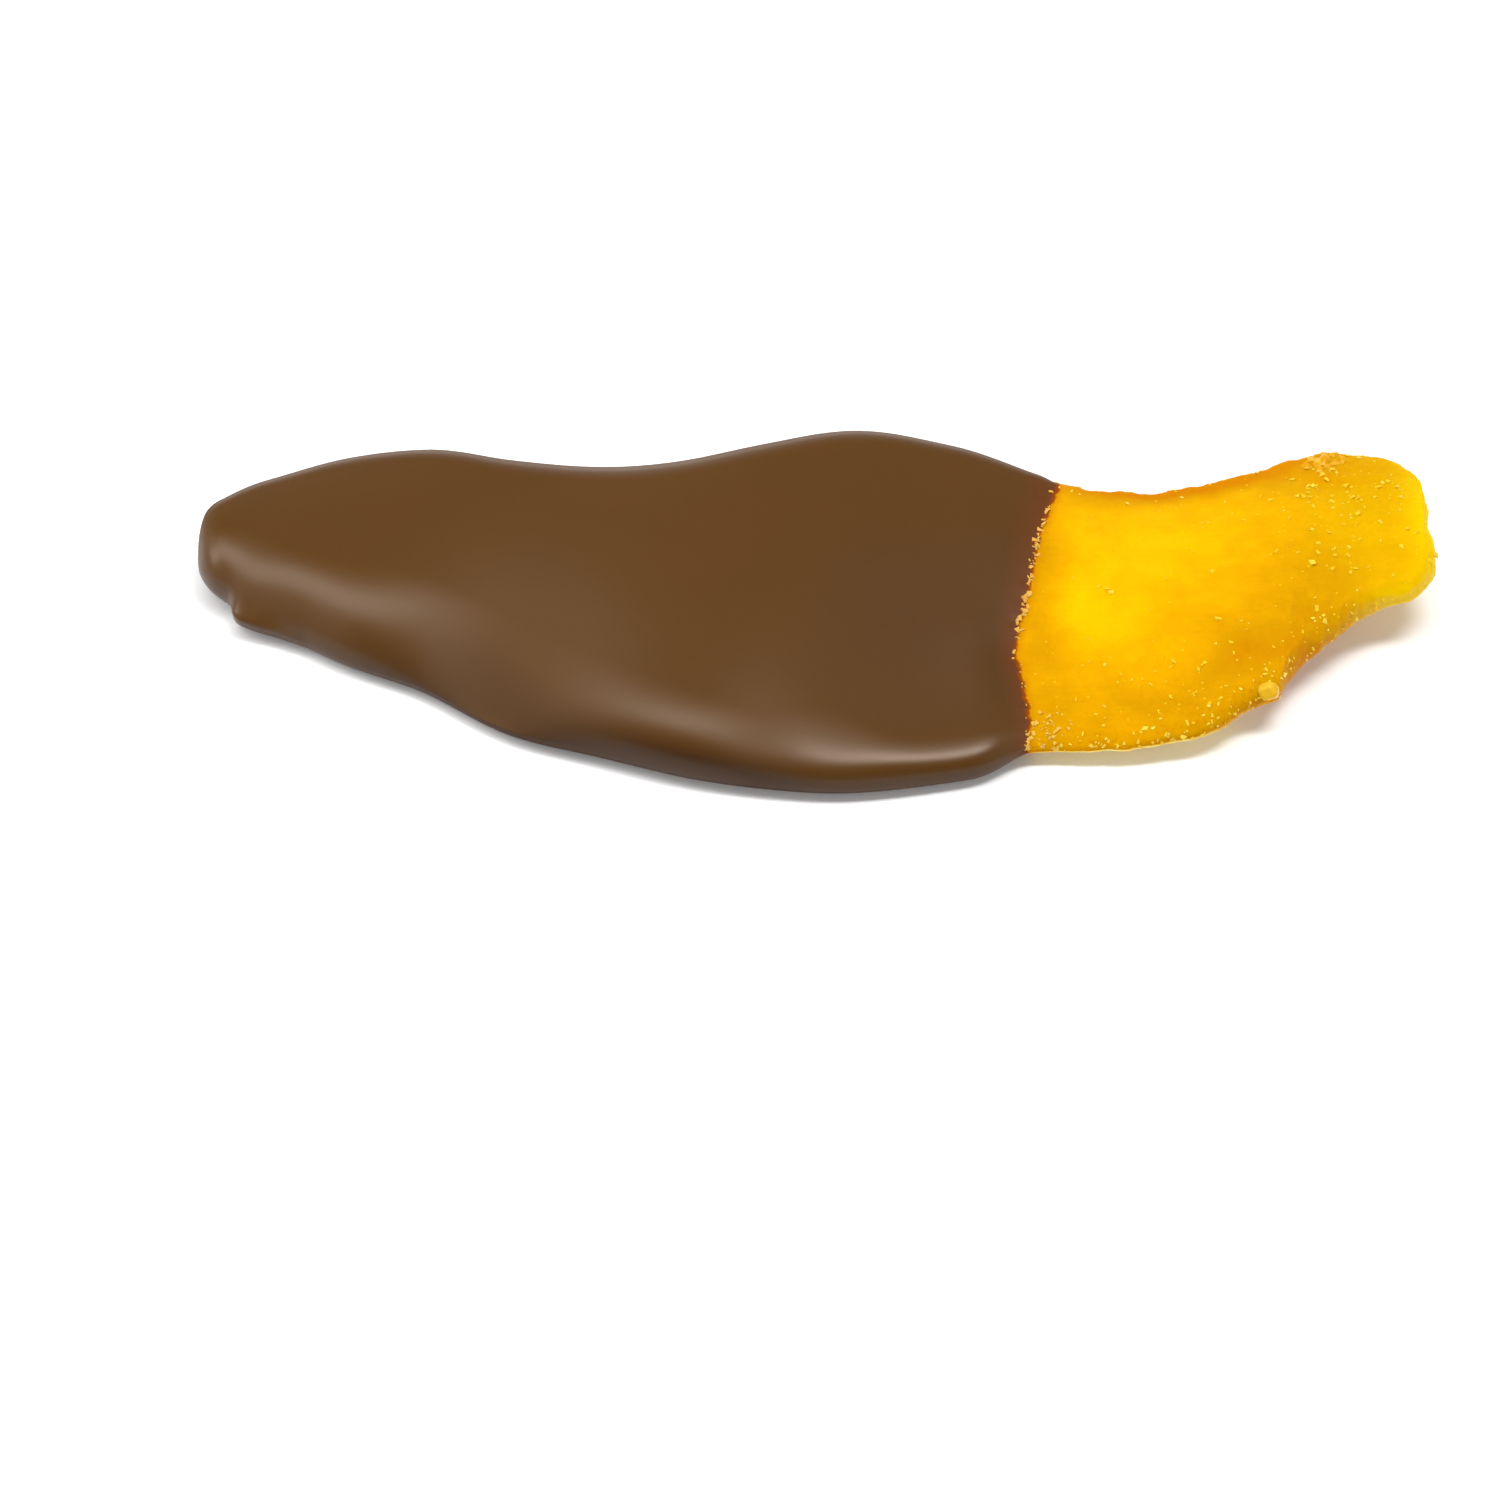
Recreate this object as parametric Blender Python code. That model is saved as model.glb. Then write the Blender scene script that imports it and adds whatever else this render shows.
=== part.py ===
"""A slice of dried mango dipped in milk chocolate, lying on its flat underside.

It is two pieces. The mango slice runs the whole length. The chocolate coat is a cup round its
left two thirds, open at the dip line, where the wall tapers to a thin rounded lip. Both are
remapped spheres whose poles lie at the two tips of the slice: each ring of the sphere becomes
one cross-section, which spans the slice from its near edge to its far edge.

Sizes below are in millimetres, and the meshes are in metres. +X runs along the slice to its
bare end, +Y to its far edge, and +Z up.
"""

import math
from functools import lru_cache
from typing import NamedTuple

import bmesh
import bpy
from mathutils import Vector, noise

MM = 0.001

# Plan outline of the mango slice, tip to tip, as matching points of its two long edges
LEFT_TIP = (-54.9, 8.2)
RIGHT_TIP = (55.6, 8.2)
FAR_EDGE = (
    (-55.0, 11.4),
    (-54.7, 13.1),
    (-53.5, 14.4),
    (-51.5, 16.1),
    (-48.6, 17.6),
    (-43.7, 19.7),
    (-36.1, 20.7),
    (-28.3, 19.3),
    (-20.3, 18.9),
    (-12.3, 19.5),
    (-4.3, 21.2),
    (3.4, 22.5),
    (11.8, 20.7),
    (22.2, 16.6),
    (30.9, 15.2),
    (39.2, 16.6),
    (45.5, 18.8),
    (49.8, 19.2),
    (53.9, 17.9),
    (55.4, 15.9),
    (55.7, 11.6),
)
NEAR_EDGE = (
    (-54.6, 6.2),
    (-53.7, 5.0),
    (-52.0, 3.8),
    (-49.1, 1.9),
    (-45.5, -0.9),
    (-41.3, -3.7),
    (-34.4, -7.2),
    (-26.3, -13.0),
    (-18.5, -15.9),
    (-10.7, -18.6),
    (-4.0, -19.9),
    (2.2, -20.3),
    (12.1, -18.7),
    (18.1, -16.8),
    (26.9, -16.6),
    (34.1, -15.0),
    (38.7, -11.6),
    (44.4, -5.4),
    (49.4, -1.1),
    (52.6, 0.1),
    (55.0, 1.9),
)
DIP_ROW = 14

# Heights of the mango's top face, x then z, at its two long edges
FAR_TOP = ((-54.0, 4.5), (-44.0, 5.1), (-33.0, 5.9), (-19.0, 5.2), (4.0, 6.9), (20.0, 5.9), (32.0, 5.6),
           (45.0, 6.9), (56.0, 6.7))
NEAR_TOP = ((-54.0, 4.4), (-44.0, 4.8), (-33.0, 4.7), (-19.0, 4.7), (-6.0, 3.8), (3.0, 2.8), (12.0, 2.1),
            (20.0, 2.4), (30.0, 3.2), (42.0, 5.0), (56.0, 6.2))
CROWN = 0.7

# Widths over which the top face rounds down to each edge, x then width
FAR_ROUND = ((-54.0, 2.4), (-40.0, 3.4), (14.0, 3.2), (24.0, 1.8), (56.0, 1.6))
NEAR_ROUND = ((-54.0, 4.5), (-51.5, 7.1), (-49.0, 6.4), (-46.0, 6.5), (-41.0, 7.5), (-35.0, 8.5),
              (-30.0, 8.8), (-25.0, 7.6), (-19.0, 6.4), (-12.0, 5.5), (-5.0, 4.2), (1.0, 5.7), (6.0, 2.8),
              (12.0, 2.0), (20.0, 1.8), (34.0, 2.6), (46.0, 2.4), (56.0, 1.6))
NEAR_STEEP = ((-54.0, 3.1), (-50.0, 3.1), (-46.0, 2.2), (-41.0, 2.3), (-34.0, 1.23), (-26.0, 1.05),
              (-18.0, 2.7), (-8.0, 2.6), (2.0, 3.2), (12.0, 3.4), (20.0, 2.0))
LOWER_ROUND = 0.8
LEFT_END_ROUND = 2.0
LEFT_END_RADIUS = 8.5
RIGHT_END_ROUND = 1.7
RIGHT_END_RADIUS = 19.0

# How high up each side the slice is widest, as a share of its thickness
FAR_WIDEST = 0.34
NEAR_WIDEST = ((-54.0, 0.3), (-46.0, 0.15), (-33.0, 0.1), (-12.0, 0.2), (14.0, 0.2), (24.0, 0.34))

# The underside lies flat and curls up towards the tips
LEFT_CURL_FROM = -44.0
LEFT_CURL = 0.8
RIGHT_CURL_FROM = 16.0
RIGHT_CURL = 3.4
CURL_REACH = 40.0
LEFT_CURL_REACH = 11.0

# Chocolate
WALL = 0.8
GAP = 0.3
LIP_TAPER = 6.0
LIP_BOW = ((0.0, 0.0), (0.1, 0.15), (0.21, 0.95), (0.32, 1.85), (0.42, 1.75), (0.53, 1.3), (0.64, 1.05),
           (0.74, 0.7), (0.83, 0.25), (0.91, -0.25), (1.0, -0.7))
DRIP = ((-53.4, 0.0), (-52.7, 0.15), (-51.4, 1.5), (-49.8, 1.5), (-47.8, 0.7), (-45.5, 0.0))
LIP_BOW_REACH = 14.0

# Dried flesh of the bare end: an uneven edge, a rolling face, a lump on the near edge, a notched tip
CRAG = 0.35
CRAG_PITCH = 2.6
ROLL = 0.25
ROLL_PITCH = 7.0
BARE_BLEND = 5.0
LUMP_AT = 39.6
LUMP = 0.8
LUMP_REACH = 1.1
NOTCH_AT = 8.3
NOTCH = 0.9
NOTCH_HALF_WIDTH = 1.5
NOTCH_REACH = 8.0
NOISE_SEED = Vector((11.3, 4.7, 2.9))

# Mesh density
RING_POINTS = 44
MANGO_STATIONS = 50
COAT_STATIONS = 58
POCKET_STATIONS = 30
END_CROWDING = 0.75

COLOURS = {
    "mango_slice": ("dried mango", (0.93, 0.42, 0.004, 1.0), 0.42),
    "chocolate_coat": ("milk chocolate", (0.115, 0.052, 0.021, 1.0), 0.38),
}


class Section(NamedTuple):
    """One cross-section of the slice, before any skin is added round it."""

    near: Vector
    far: Vector
    near_out: Vector
    far_out: Vector
    from_left: float
    from_right: float


def smooth_through(keys, at):
    """Cubic curve through (position, value) keys, flat slopes held beyond the first and last."""
    if at <= keys[0][0]:
        return keys[0][1]
    if at >= keys[-1][0]:
        return keys[-1][1]
    i = max(k for k in range(len(keys) - 1) if keys[k][0] <= at)
    (t0, p0), (t1, p1) = keys[i], keys[i + 1]
    step = t1 - t0
    chord = (p1 - p0) / step

    def slope(k):
        if k == 0 or k == len(keys) - 1:
            return chord
        before = keys[k][0] - keys[k - 1][0]
        after = keys[k + 1][0] - keys[k][0]
        slope_before = (keys[k][1] - keys[k - 1][1]) / before
        slope_after = (keys[k + 1][1] - keys[k][1]) / after
        return (slope_before * after + slope_after * before) / (before + after)

    a = (at - t0) / step
    m0, m1 = slope(i), slope(i + 1)
    return (
        p0 * (1 + 2 * a) * (1 - a) ** 2
        + p1 * a * a * (3 - 2 * a)
        + m0 * (step * a * (1 - a) ** 2)
        - m1 * (step * a * a * (1 - a))
    )


def ease(a):
    """Smooth step from 0 to 1."""
    a = min(max(a, 0.0), 1.0)
    return a * a * (3 - 2 * a)


def round_over(distance, width):
    """Share of the full height at this distance in from an edge that rounds over this width."""
    inside = 1 - min(max(distance / width, 0.0), 1.0)
    return math.sqrt(1 - inside * inside)


def shoulder(distance, width, steep):
    """As round_over, from an even slope up to a soft ridge at steep 1 to an upright side at 3."""
    inside = 1 - min(max(distance / width, 0.0), 1.0)
    return (1 - inside * inside) ** (1 / steep)


@lru_cache(maxsize=1)
def edge_keys():
    """Keys of the far and the near edge against distance from the left tip, run on past both tips."""
    left, right = Vector(LEFT_TIP), Vector(RIGHT_TIP)
    far = [left, *map(Vector, FAR_EDGE), right]
    near = [left, *map(Vector, NEAR_EDGE), right]
    stations = [0.0]
    for i in range(1, len(far)):
        step = ((far[i] - far[i - 1]).length + (near[i] - near[i - 1]).length) / 2
        stations.append(stations[-1] + step)
    last = stations[-1]
    past = 2 * last - stations[-2]
    far_keys = [(-stations[1], near[1]), *zip(stations, far), (past, near[-2])]
    near_keys = [(-stations[1], far[1]), *zip(stations, near), (past, far[-2])]
    return far_keys, near_keys, stations


def lip_station():
    """Distance of the dip line from the left tip."""
    return edge_keys()[2][DIP_ROW]


def bareness(x):
    """0 under the chocolate, 1 on the bare end."""
    return ease((x - NEAR_EDGE[DIP_ROW - 1][0]) / BARE_BLEND)


def crag(point, bump):
    """How far the edge of the bare flesh stands out at this point of the outline."""
    ragged = CRAG * noise.noise(point.to_3d() / CRAG_PITCH + NOISE_SEED)
    return ragged * bareness(point.x) + bump


def depth_behind_tip(way, plan_radius):
    """How far a round end of this plan radius has fallen back, this way along its edge."""
    return way * way / (2 * plan_radius)


@lru_cache(maxsize=None)
def section(station):
    """The cross-section at this distance from the left tip."""
    far_keys, near_keys, stations = edge_keys()
    nudge = 0.05
    ends = []
    for keys, turn in ((near_keys, -1), (far_keys, 1)):
        at = smooth_through(keys, station)
        run = smooth_through(keys, station + nudge) - smooth_through(keys, station - nudge)
        out = Vector((-run.y, run.x)).normalized() * turn
        bump = 0.0
        if turn < 0:
            bump = LUMP * math.exp(-(((at.x - LUMP_AT) / LUMP_REACH) ** 2))
        ends.append((at + out * crag(at, bump), out))
    (near, near_out), (far, far_out) = ends
    from_left = depth_behind_tip(station, LEFT_END_RADIUS)
    from_right = depth_behind_tip(stations[-1] - station, RIGHT_END_RADIUS)
    return Section(near, far, near_out, far_out, from_left, from_right)


def underside(x):
    """Height of the mango's underside, with the chocolate's thickness below it."""
    left = max(0.0, LEFT_CURL_FROM - x) / LEFT_CURL_REACH
    right = max(0.0, x - RIGHT_CURL_FROM) / CURL_REACH
    return WALL + GAP + LEFT_CURL * left * left + RIGHT_CURL * right * right


def lip_bow(station, across):
    """How far the dip line, and the chocolate just behind it, bows back from a straight line."""
    reach = ease(1 - (lip_station() - station) / LIP_BOW_REACH)
    return -reach * smooth_through(LIP_BOW, across)


def notch(station, y):
    """How far the bare tip is bitten in at this place across it."""
    reach = ease(1 - (edge_keys()[2][-1] - station) / NOTCH_REACH)
    return NOTCH * reach * math.exp(-(((y - NOTCH_AT) / NOTCH_HALF_WIDTH) ** 2))


def foot(share, across, upper):
    """Share of the drip at this place: all of it at the foot of the near side, none at its top."""
    near_half = 1 - ease(2 * across)
    return near_half * (1 - share) ** 3 if upper else near_half


def skin_point(station, angle, skin, bow=False, drip=False):
    """Point of the surface that lies this far outside the mango, in mm.

    station is the distance from the left tip, and angle runs round the section: 0 at the far
    edge, then over the top to the near edge at pi, and back underneath.
    """
    cut = section(station)
    near = cut.near + cut.near_out * skin
    far = cut.far + cut.far_out * skin
    width = (far - near).length
    across = (1 + math.cos(angle)) / 2
    spot = near.lerp(far, across)
    spot.x -= notch(station, spot.y)
    if bow:
        spot.x += lip_bow(station, across)
    x = spot.x
    end = round_over(cut.from_left, LEFT_END_ROUND) * round_over(cut.from_right, RIGHT_END_ROUND)
    low = underside(x)
    side = ease(across)
    edge_top = (1 - side) * smooth_through(NEAR_TOP, x) + side * smooth_through(FAR_TOP, x)
    widest = (1 - side) * smooth_through(NEAR_WIDEST, x) + side * FAR_WIDEST
    level = low + widest * (edge_top - low)
    if math.sin(angle) >= 0:
        near_round = smooth_through(NEAR_ROUND, x) + skin
        far_round = smooth_through(FAR_ROUND, x) + skin
        steep = smooth_through(NEAR_STEEP, x)
        share = shoulder(across * width, near_round, steep) * round_over((1 - across) * width, far_round)
        roll = ROLL * noise.noise(spot.to_3d() / ROLL_PITCH + NOISE_SEED) * bareness(x)
        top = edge_top + CROWN * 4 * across * (1 - across) + roll + skin
        z = level + (top - level) * share * end
    else:
        lower = LOWER_ROUND + skin
        share = round_over(across * width, lower) * round_over((1 - across) * width, lower)
        z = level - (level - low + skin) * share * end
    if drip:
        spot += cut.near_out * smooth_through(DRIP, x) * foot(share, across, math.sin(angle) >= 0)
    return Vector((spot.x, spot.y, z))


def crowded(a):
    """Spacing that crowds the stations towards both ends of a run."""
    return END_CROWDING * (1 - math.cos(math.pi * a)) / 2 + (1 - END_CROWDING) * a


def wall_at(station):
    """Thickness of the chocolate, which tapers to a rounded lip at the dip line."""
    return WALL * round_over(lip_station() - station, LIP_TAPER)


def mango_point(row, angle):
    """Point of the mango slice, whose rows run from the left tip to the right tip."""
    last = edge_keys()[2][-1]
    return skin_point(last * crowded(row / MANGO_STATIONS), angle, 0.0)


def coat_point(row, angle):
    """Point of the chocolate, whose rows run from the left tip to the lip and back inside."""
    if row <= COAT_STATIONS:
        station = lip_station() * crowded(row / COAT_STATIONS)
        return skin_point(station, angle, GAP + wall_at(station), bow=True, drip=True)
    station = lip_station() * crowded(1 - (row - COAT_STATIONS) / POCKET_STATIONS)
    return skin_point(station, angle, GAP, bow=True)


def remapped_sphere(name, rows, place):
    """A sphere whose rings are moved to the cross-sections that place(row, angle) gives."""
    bm = bmesh.new()
    bmesh.ops.create_uvsphere(bm, u_segments=RING_POINTS, v_segments=rows, radius=1.0)
    for vert in bm.verts:
        row = round(math.acos(max(-1.0, min(1.0, -vert.co.z))) / math.pi * rows)
        vert.co = place(row, math.atan2(vert.co.y, vert.co.x)) * MM
    mesh = bpy.data.meshes.new(name)
    bm.to_mesh(mesh)
    bm.free()
    mesh.shade_smooth()
    return mesh


def material(name, colour, roughness):
    """Plain Principled material."""
    made = bpy.data.materials.new(name)
    made.use_nodes = True
    surface = made.node_tree.nodes["Principled BSDF"]
    surface.inputs["Base Color"].default_value = colour
    surface.inputs["Roughness"].default_value = roughness
    surface.inputs["Metallic"].default_value = 0.0
    return made


def stand_on_origin(meshes):
    """Moves the meshes together, so that the origin is the middle of their box's underside."""
    points = [vert.co for mesh in meshes for vert in mesh.vertices]
    low = Vector(min(point[i] for point in points) for i in range(3))
    high = Vector(max(point[i] for point in points) for i in range(3))
    shift = Vector(((low.x + high.x) / -2, (low.y + high.y) / -2, -low.z))
    for mesh in meshes:
        for vert in mesh.vertices:
            vert.co += shift
        mesh.update()


def main():
    for old in list(bpy.data.objects):
        bpy.data.objects.remove(old, do_unlink=True)
    meshes = [
        remapped_sphere("mango_slice", MANGO_STATIONS, mango_point),
        remapped_sphere("chocolate_coat", COAT_STATIONS + POCKET_STATIONS, coat_point),
    ]
    stand_on_origin(meshes)
    for mesh in meshes:
        mesh.materials.append(material(*COLOURS[mesh.name]))
        bpy.context.scene.collection.objects.link(bpy.data.objects.new(mesh.name, mesh))


if __name__ == "__main__":
    main()
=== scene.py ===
"""Looks of a slice of dried mango dipped in milk chocolate, lying on a pale table.

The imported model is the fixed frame. Its two solids are replaced by dense meshes of the same form:
the mango slice, which runs the whole length, and the chocolate coat round its left two thirds.
Sugar crystals, a bead of dried syrup and a flake of sugar crust lie on the bare end.

Sizes are in millimetres until a mesh is placed, when they become metres in the frame of the
model. +X runs along the slice to its bare end, +Y to its far edge, and +Z up.
"""

from __future__ import annotations

import logging
import math
from dataclasses import dataclass, field
from enum import Enum
from functools import cached_property

import bmesh
import bpy
import numpy as np
from mathutils import Matrix, Vector, noise
from mathutils.bvhtree import BVHTree

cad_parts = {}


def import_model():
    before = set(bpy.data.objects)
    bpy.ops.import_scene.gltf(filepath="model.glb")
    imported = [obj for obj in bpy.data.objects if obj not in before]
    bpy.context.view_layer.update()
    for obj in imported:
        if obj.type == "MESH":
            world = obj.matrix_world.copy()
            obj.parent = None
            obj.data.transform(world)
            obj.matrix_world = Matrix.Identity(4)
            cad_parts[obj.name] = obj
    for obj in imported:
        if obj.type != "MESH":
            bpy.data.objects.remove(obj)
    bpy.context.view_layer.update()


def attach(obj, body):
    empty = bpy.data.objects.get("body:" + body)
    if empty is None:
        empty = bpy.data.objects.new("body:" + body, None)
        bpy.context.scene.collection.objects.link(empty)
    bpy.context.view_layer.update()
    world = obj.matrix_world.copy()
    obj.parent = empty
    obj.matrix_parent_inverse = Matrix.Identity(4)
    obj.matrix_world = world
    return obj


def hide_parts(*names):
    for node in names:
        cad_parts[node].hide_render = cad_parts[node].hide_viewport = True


LOG = logging.getLogger("dipped_mango")
MM = 0.001
SAME_PLACE = 1e-7
NO_LENGTH = 1e-8
NO_AREA = 1e-18
FAR_OFF = 99.0
PHOTO_SIDE = 1512

Keys = tuple[tuple[float, ...], ...]
Point = tuple[float, float]
Span = tuple[float, float]


def linear(hex_colour: str) -> tuple[float, float, float, float]:
    """Turns an sRGB hex colour into linear RGBA.

    Args:
        hex_colour: Six digits after a hash.

    Returns:
        The colour with an alpha of 1.
    """
    parts = [int(hex_colour[i : i + 2], 16) / 255 for i in (1, 3, 5)]
    red, green, blue = (p / 12.92 if p <= 0.04045 else ((p + 0.055) / 1.055) ** 2.4 for p in parts)
    return red, green, blue, 1.0


def ease(amount: np.ndarray) -> np.ndarray:
    """Smooth step from 0 to 1."""
    held = np.clip(amount, 0.0, 1.0)
    return held * held * (3 - 2 * held)


def clipped(value: float, top: float = 1.0) -> float:
    """Keeps a value between 0 and a top."""
    return min(max(value, 0.0), top)


def round_over(distance: np.ndarray, width: np.ndarray | float) -> np.ndarray:
    """Share of the full height at a distance in from an edge that rounds over a width."""
    inside = 1 - np.clip(distance / width, 0.0, 1.0)
    return np.sqrt(1 - inside * inside)


def smooth_noise(points: np.ndarray, pitch: float, seed: Vector) -> np.ndarray:
    """Noise from about -1 to 1 at each point.

    Args:
        points: Places in millimetres, x y z last.
        pitch: Size of the noise's features in millimetres.
        seed: Where in the noise the origin lies.

    Returns:
        One value a point.
    """
    flat = points.reshape(-1, 3) / pitch
    values = [noise.noise(Vector(place) + seed) for place in flat]
    return np.array(values).reshape(points.shape[:-1])


@dataclass(frozen=True)
class Profile:
    """Smooth curve through keys, each a position and then one or more values."""

    keys: Keys

    def __call__(self, at: np.ndarray) -> np.ndarray:
        """Reads the curve, which holds its end values beyond the keys.

        Args:
            at: Positions of any shape.

        Returns:
            The values there, with a last axis of its own where a key has several.
        """
        table = np.array(self.keys)
        place, value = table[:, 0], table[:, 1:]
        gap = np.diff(place)[:, None]
        chord = np.diff(value, axis=0) / gap
        inner = (chord[:-1] * gap[1:] + chord[1:] * gap[:-1]) / (gap[1:] + gap[:-1])
        slope = np.vstack((chord[:1], inner, chord[-1:]))
        held = np.clip(at, place[0], place[-1])
        i = np.clip(np.searchsorted(place, held, side="right") - 1, 0, len(gap) - 1)
        a = ((held - place[i]) / gap[i, 0])[..., None]
        curve = (
            value[i] * (1 + 2 * a) * (1 - a) ** 2
            + value[i + 1] * a * a * (3 - 2 * a)
            + slope[i] * gap[i] * a * (1 - a) ** 2
            - slope[i + 1] * gap[i] * a * a * (1 - a)
        )
        return curve[..., 0] if value.shape[1] == 1 else curve


@dataclass(frozen=True)
class Section:
    """Cross-sections at several stations, before any skin is added round them."""

    near: np.ndarray
    far: np.ndarray
    near_out: np.ndarray
    far_out: np.ndarray
    end_share: np.ndarray


@dataclass(frozen=True)
class SliceForm:
    """Form that the mango slice and its coat share, in millimetres.

    A station is the distance from the left tip along the middle of the slice. An angle runs round
    a cross-section: 0 at the far edge, a half turn at the near edge, and back underneath.
    """

    left_tip: Point = (-54.9, 8.2)
    right_tip: Point = (55.6, 8.2)
    far_edge: tuple[Point, ...] = (
        (-55.0, 11.4), (-54.7, 13.1), (-53.5, 14.4), (-51.5, 16.1), (-48.6, 17.6), (-43.7, 19.7),
        (-36.1, 20.7), (-28.3, 19.3), (-20.3, 18.9), (-12.3, 19.5), (-4.3, 21.2), (3.4, 22.5),
        (11.8, 20.7), (22.2, 16.6), (30.9, 15.2), (39.2, 16.6), (45.5, 18.8), (49.8, 19.2),
        (53.9, 17.9), (55.4, 15.9), (55.7, 11.6),
    )
    near_edge: tuple[Point, ...] = (
        (-54.6, 6.2), (-53.7, 5.0), (-52.0, 3.8), (-49.1, 1.9), (-45.5, -0.9), (-41.3, -3.7),
        (-34.4, -7.2), (-26.3, -13.0), (-18.5, -15.9), (-10.7, -18.6), (-4.0, -19.9), (2.2, -20.3),
        (12.1, -18.7), (18.1, -16.8), (26.9, -16.6), (34.1, -15.0), (38.7, -11.6), (44.4, -5.4),
        (49.4, -1.1), (52.6, 0.1), (55.0, 1.9),
    )
    dip_row: int = 14
    far_top: Profile = Profile(
        ((-54.0, 4.5), (-44.0, 5.1), (-33.0, 5.9), (-19.0, 5.2), (4.0, 6.9), (20.0, 5.9), (32.0, 5.6),
         (45.0, 6.9), (56.0, 6.7))
    )
    near_top: Profile = Profile(
        ((-54.0, 4.4), (-44.0, 4.8), (-33.0, 4.7), (-19.0, 4.7), (-6.0, 3.8), (3.0, 2.8), (12.0, 2.1),
         (20.0, 2.4), (30.0, 3.2), (42.0, 5.0), (56.0, 6.2))
    )
    far_round: Profile = Profile(((-54.0, 2.4), (-40.0, 3.4), (14.0, 3.2), (24.0, 1.8), (56.0, 1.6)))
    near_round: Profile = Profile(
        ((-54.0, 4.5), (-51.5, 7.1), (-49.0, 6.4), (-46.0, 6.5), (-41.0, 7.5), (-35.0, 8.5), (-30.0, 8.8),
         (-25.0, 7.6), (-19.0, 6.4), (-12.0, 5.5), (-5.0, 4.2), (1.0, 5.7), (6.0, 2.8), (12.0, 2.0),
         (20.0, 1.8), (34.0, 2.6), (46.0, 2.4), (56.0, 1.6))
    )
    near_steep: Profile = Profile(
        ((-54.0, 3.1), (-50.0, 3.1), (-46.0, 2.2), (-41.0, 2.3), (-34.0, 1.23), (-26.0, 1.05), (-18.0, 2.7),
         (-8.0, 2.6), (2.0, 3.2), (12.0, 3.4), (20.0, 2.0))
    )
    crown: float = 0.7
    lower_round: float = 0.8
    left_end_round: float = 2.0
    left_end_radius: float = 8.5
    right_end_round: float = 1.7
    right_end_radius: float = 19.0
    far_widest: float = 0.34
    near_widest: Profile = Profile(
        ((-54.0, 0.3), (-46.0, 0.15), (-33.0, 0.1), (-12.0, 0.2), (14.0, 0.2), (24.0, 0.34))
    )
    left_curl_from: float = -44.0
    left_curl: float = 0.8
    left_curl_reach: float = 11.0
    right_curl_from: float = 16.0
    right_curl: float = 3.4
    right_curl_reach: float = 40.0
    floor_to_mango: float = 1.1
    lip_bow: Profile = Profile(
        ((0.0, 0.0), (0.1, 0.15), (0.21, 0.95), (0.32, 1.85), (0.42, 1.75), (0.53, 1.3), (0.64, 1.05),
         (0.74, 0.7), (0.83, 0.25), (0.91, -0.25), (1.0, -0.7))
    )
    drip: Profile = Profile(
        ((-53.4, 0.0), (-52.7, 0.15), (-51.4, 1.5), (-49.8, 1.5), (-47.8, 0.7), (-45.5, 0.0))
    )
    lip_bow_reach: float = 14.0
    crag: float = 0.35
    crag_pitch: float = 2.6
    fine_crag: float = 0.16
    fine_crag_pitch: float = 0.8
    roll: float = 0.25
    roll_pitch: float = 7.0
    bare_blend: float = 5.0
    lump_at: float = 39.6
    lump: float = 0.8
    lump_reach: float = 1.1
    notch_at: float = 8.3
    notch: float = 0.9
    notch_half_width: float = 1.5
    notch_reach: float = 8.0
    seed: Vector = field(default_factory=lambda: Vector((11.3, 4.7, 2.9)))
    frame_shift: tuple[float, float, float] = (0.151, -1.084, 0.0)

    @cached_property
    def stations(self) -> np.ndarray:
        """Station of each point of the outline, both tips among them."""
        edges = [
            np.array((self.left_tip, *edge, self.right_tip)) for edge in (self.far_edge, self.near_edge)
        ]
        steps = sum(np.linalg.norm(np.diff(edge, axis=0), axis=1) for edge in edges) / 2
        return np.concatenate(([0.0], np.cumsum(steps)))

    @property
    def length(self) -> float:
        """Station of the right tip."""
        return float(self.stations[-1])

    @property
    def lip_station(self) -> float:
        """Station of the dip line."""
        return float(self.stations[self.dip_row])

    def edge_line(self, edge: tuple[Point, ...], opposite: tuple[Point, ...]) -> Profile:
        """Plan of one long edge by station, run on round both tips onto the other edge.

        Args:
            edge: The edge's own points.
            opposite: The points of the other edge.

        Returns:
            A curve of x and y.
        """
        at = self.stations
        inside = zip(at, (self.left_tip, *edge, self.right_tip))
        before = (-at[1], *opposite[0])
        after = (2 * at[-1] - at[-2], *opposite[-1])
        return Profile((before, *((station, *place) for station, place in inside), after))

    def bareness(self, x: np.ndarray) -> np.ndarray:
        """0 under the chocolate, 1 on the bare end."""
        return ease((x - self.near_edge[self.dip_row - 1][0]) / self.bare_blend)

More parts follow.
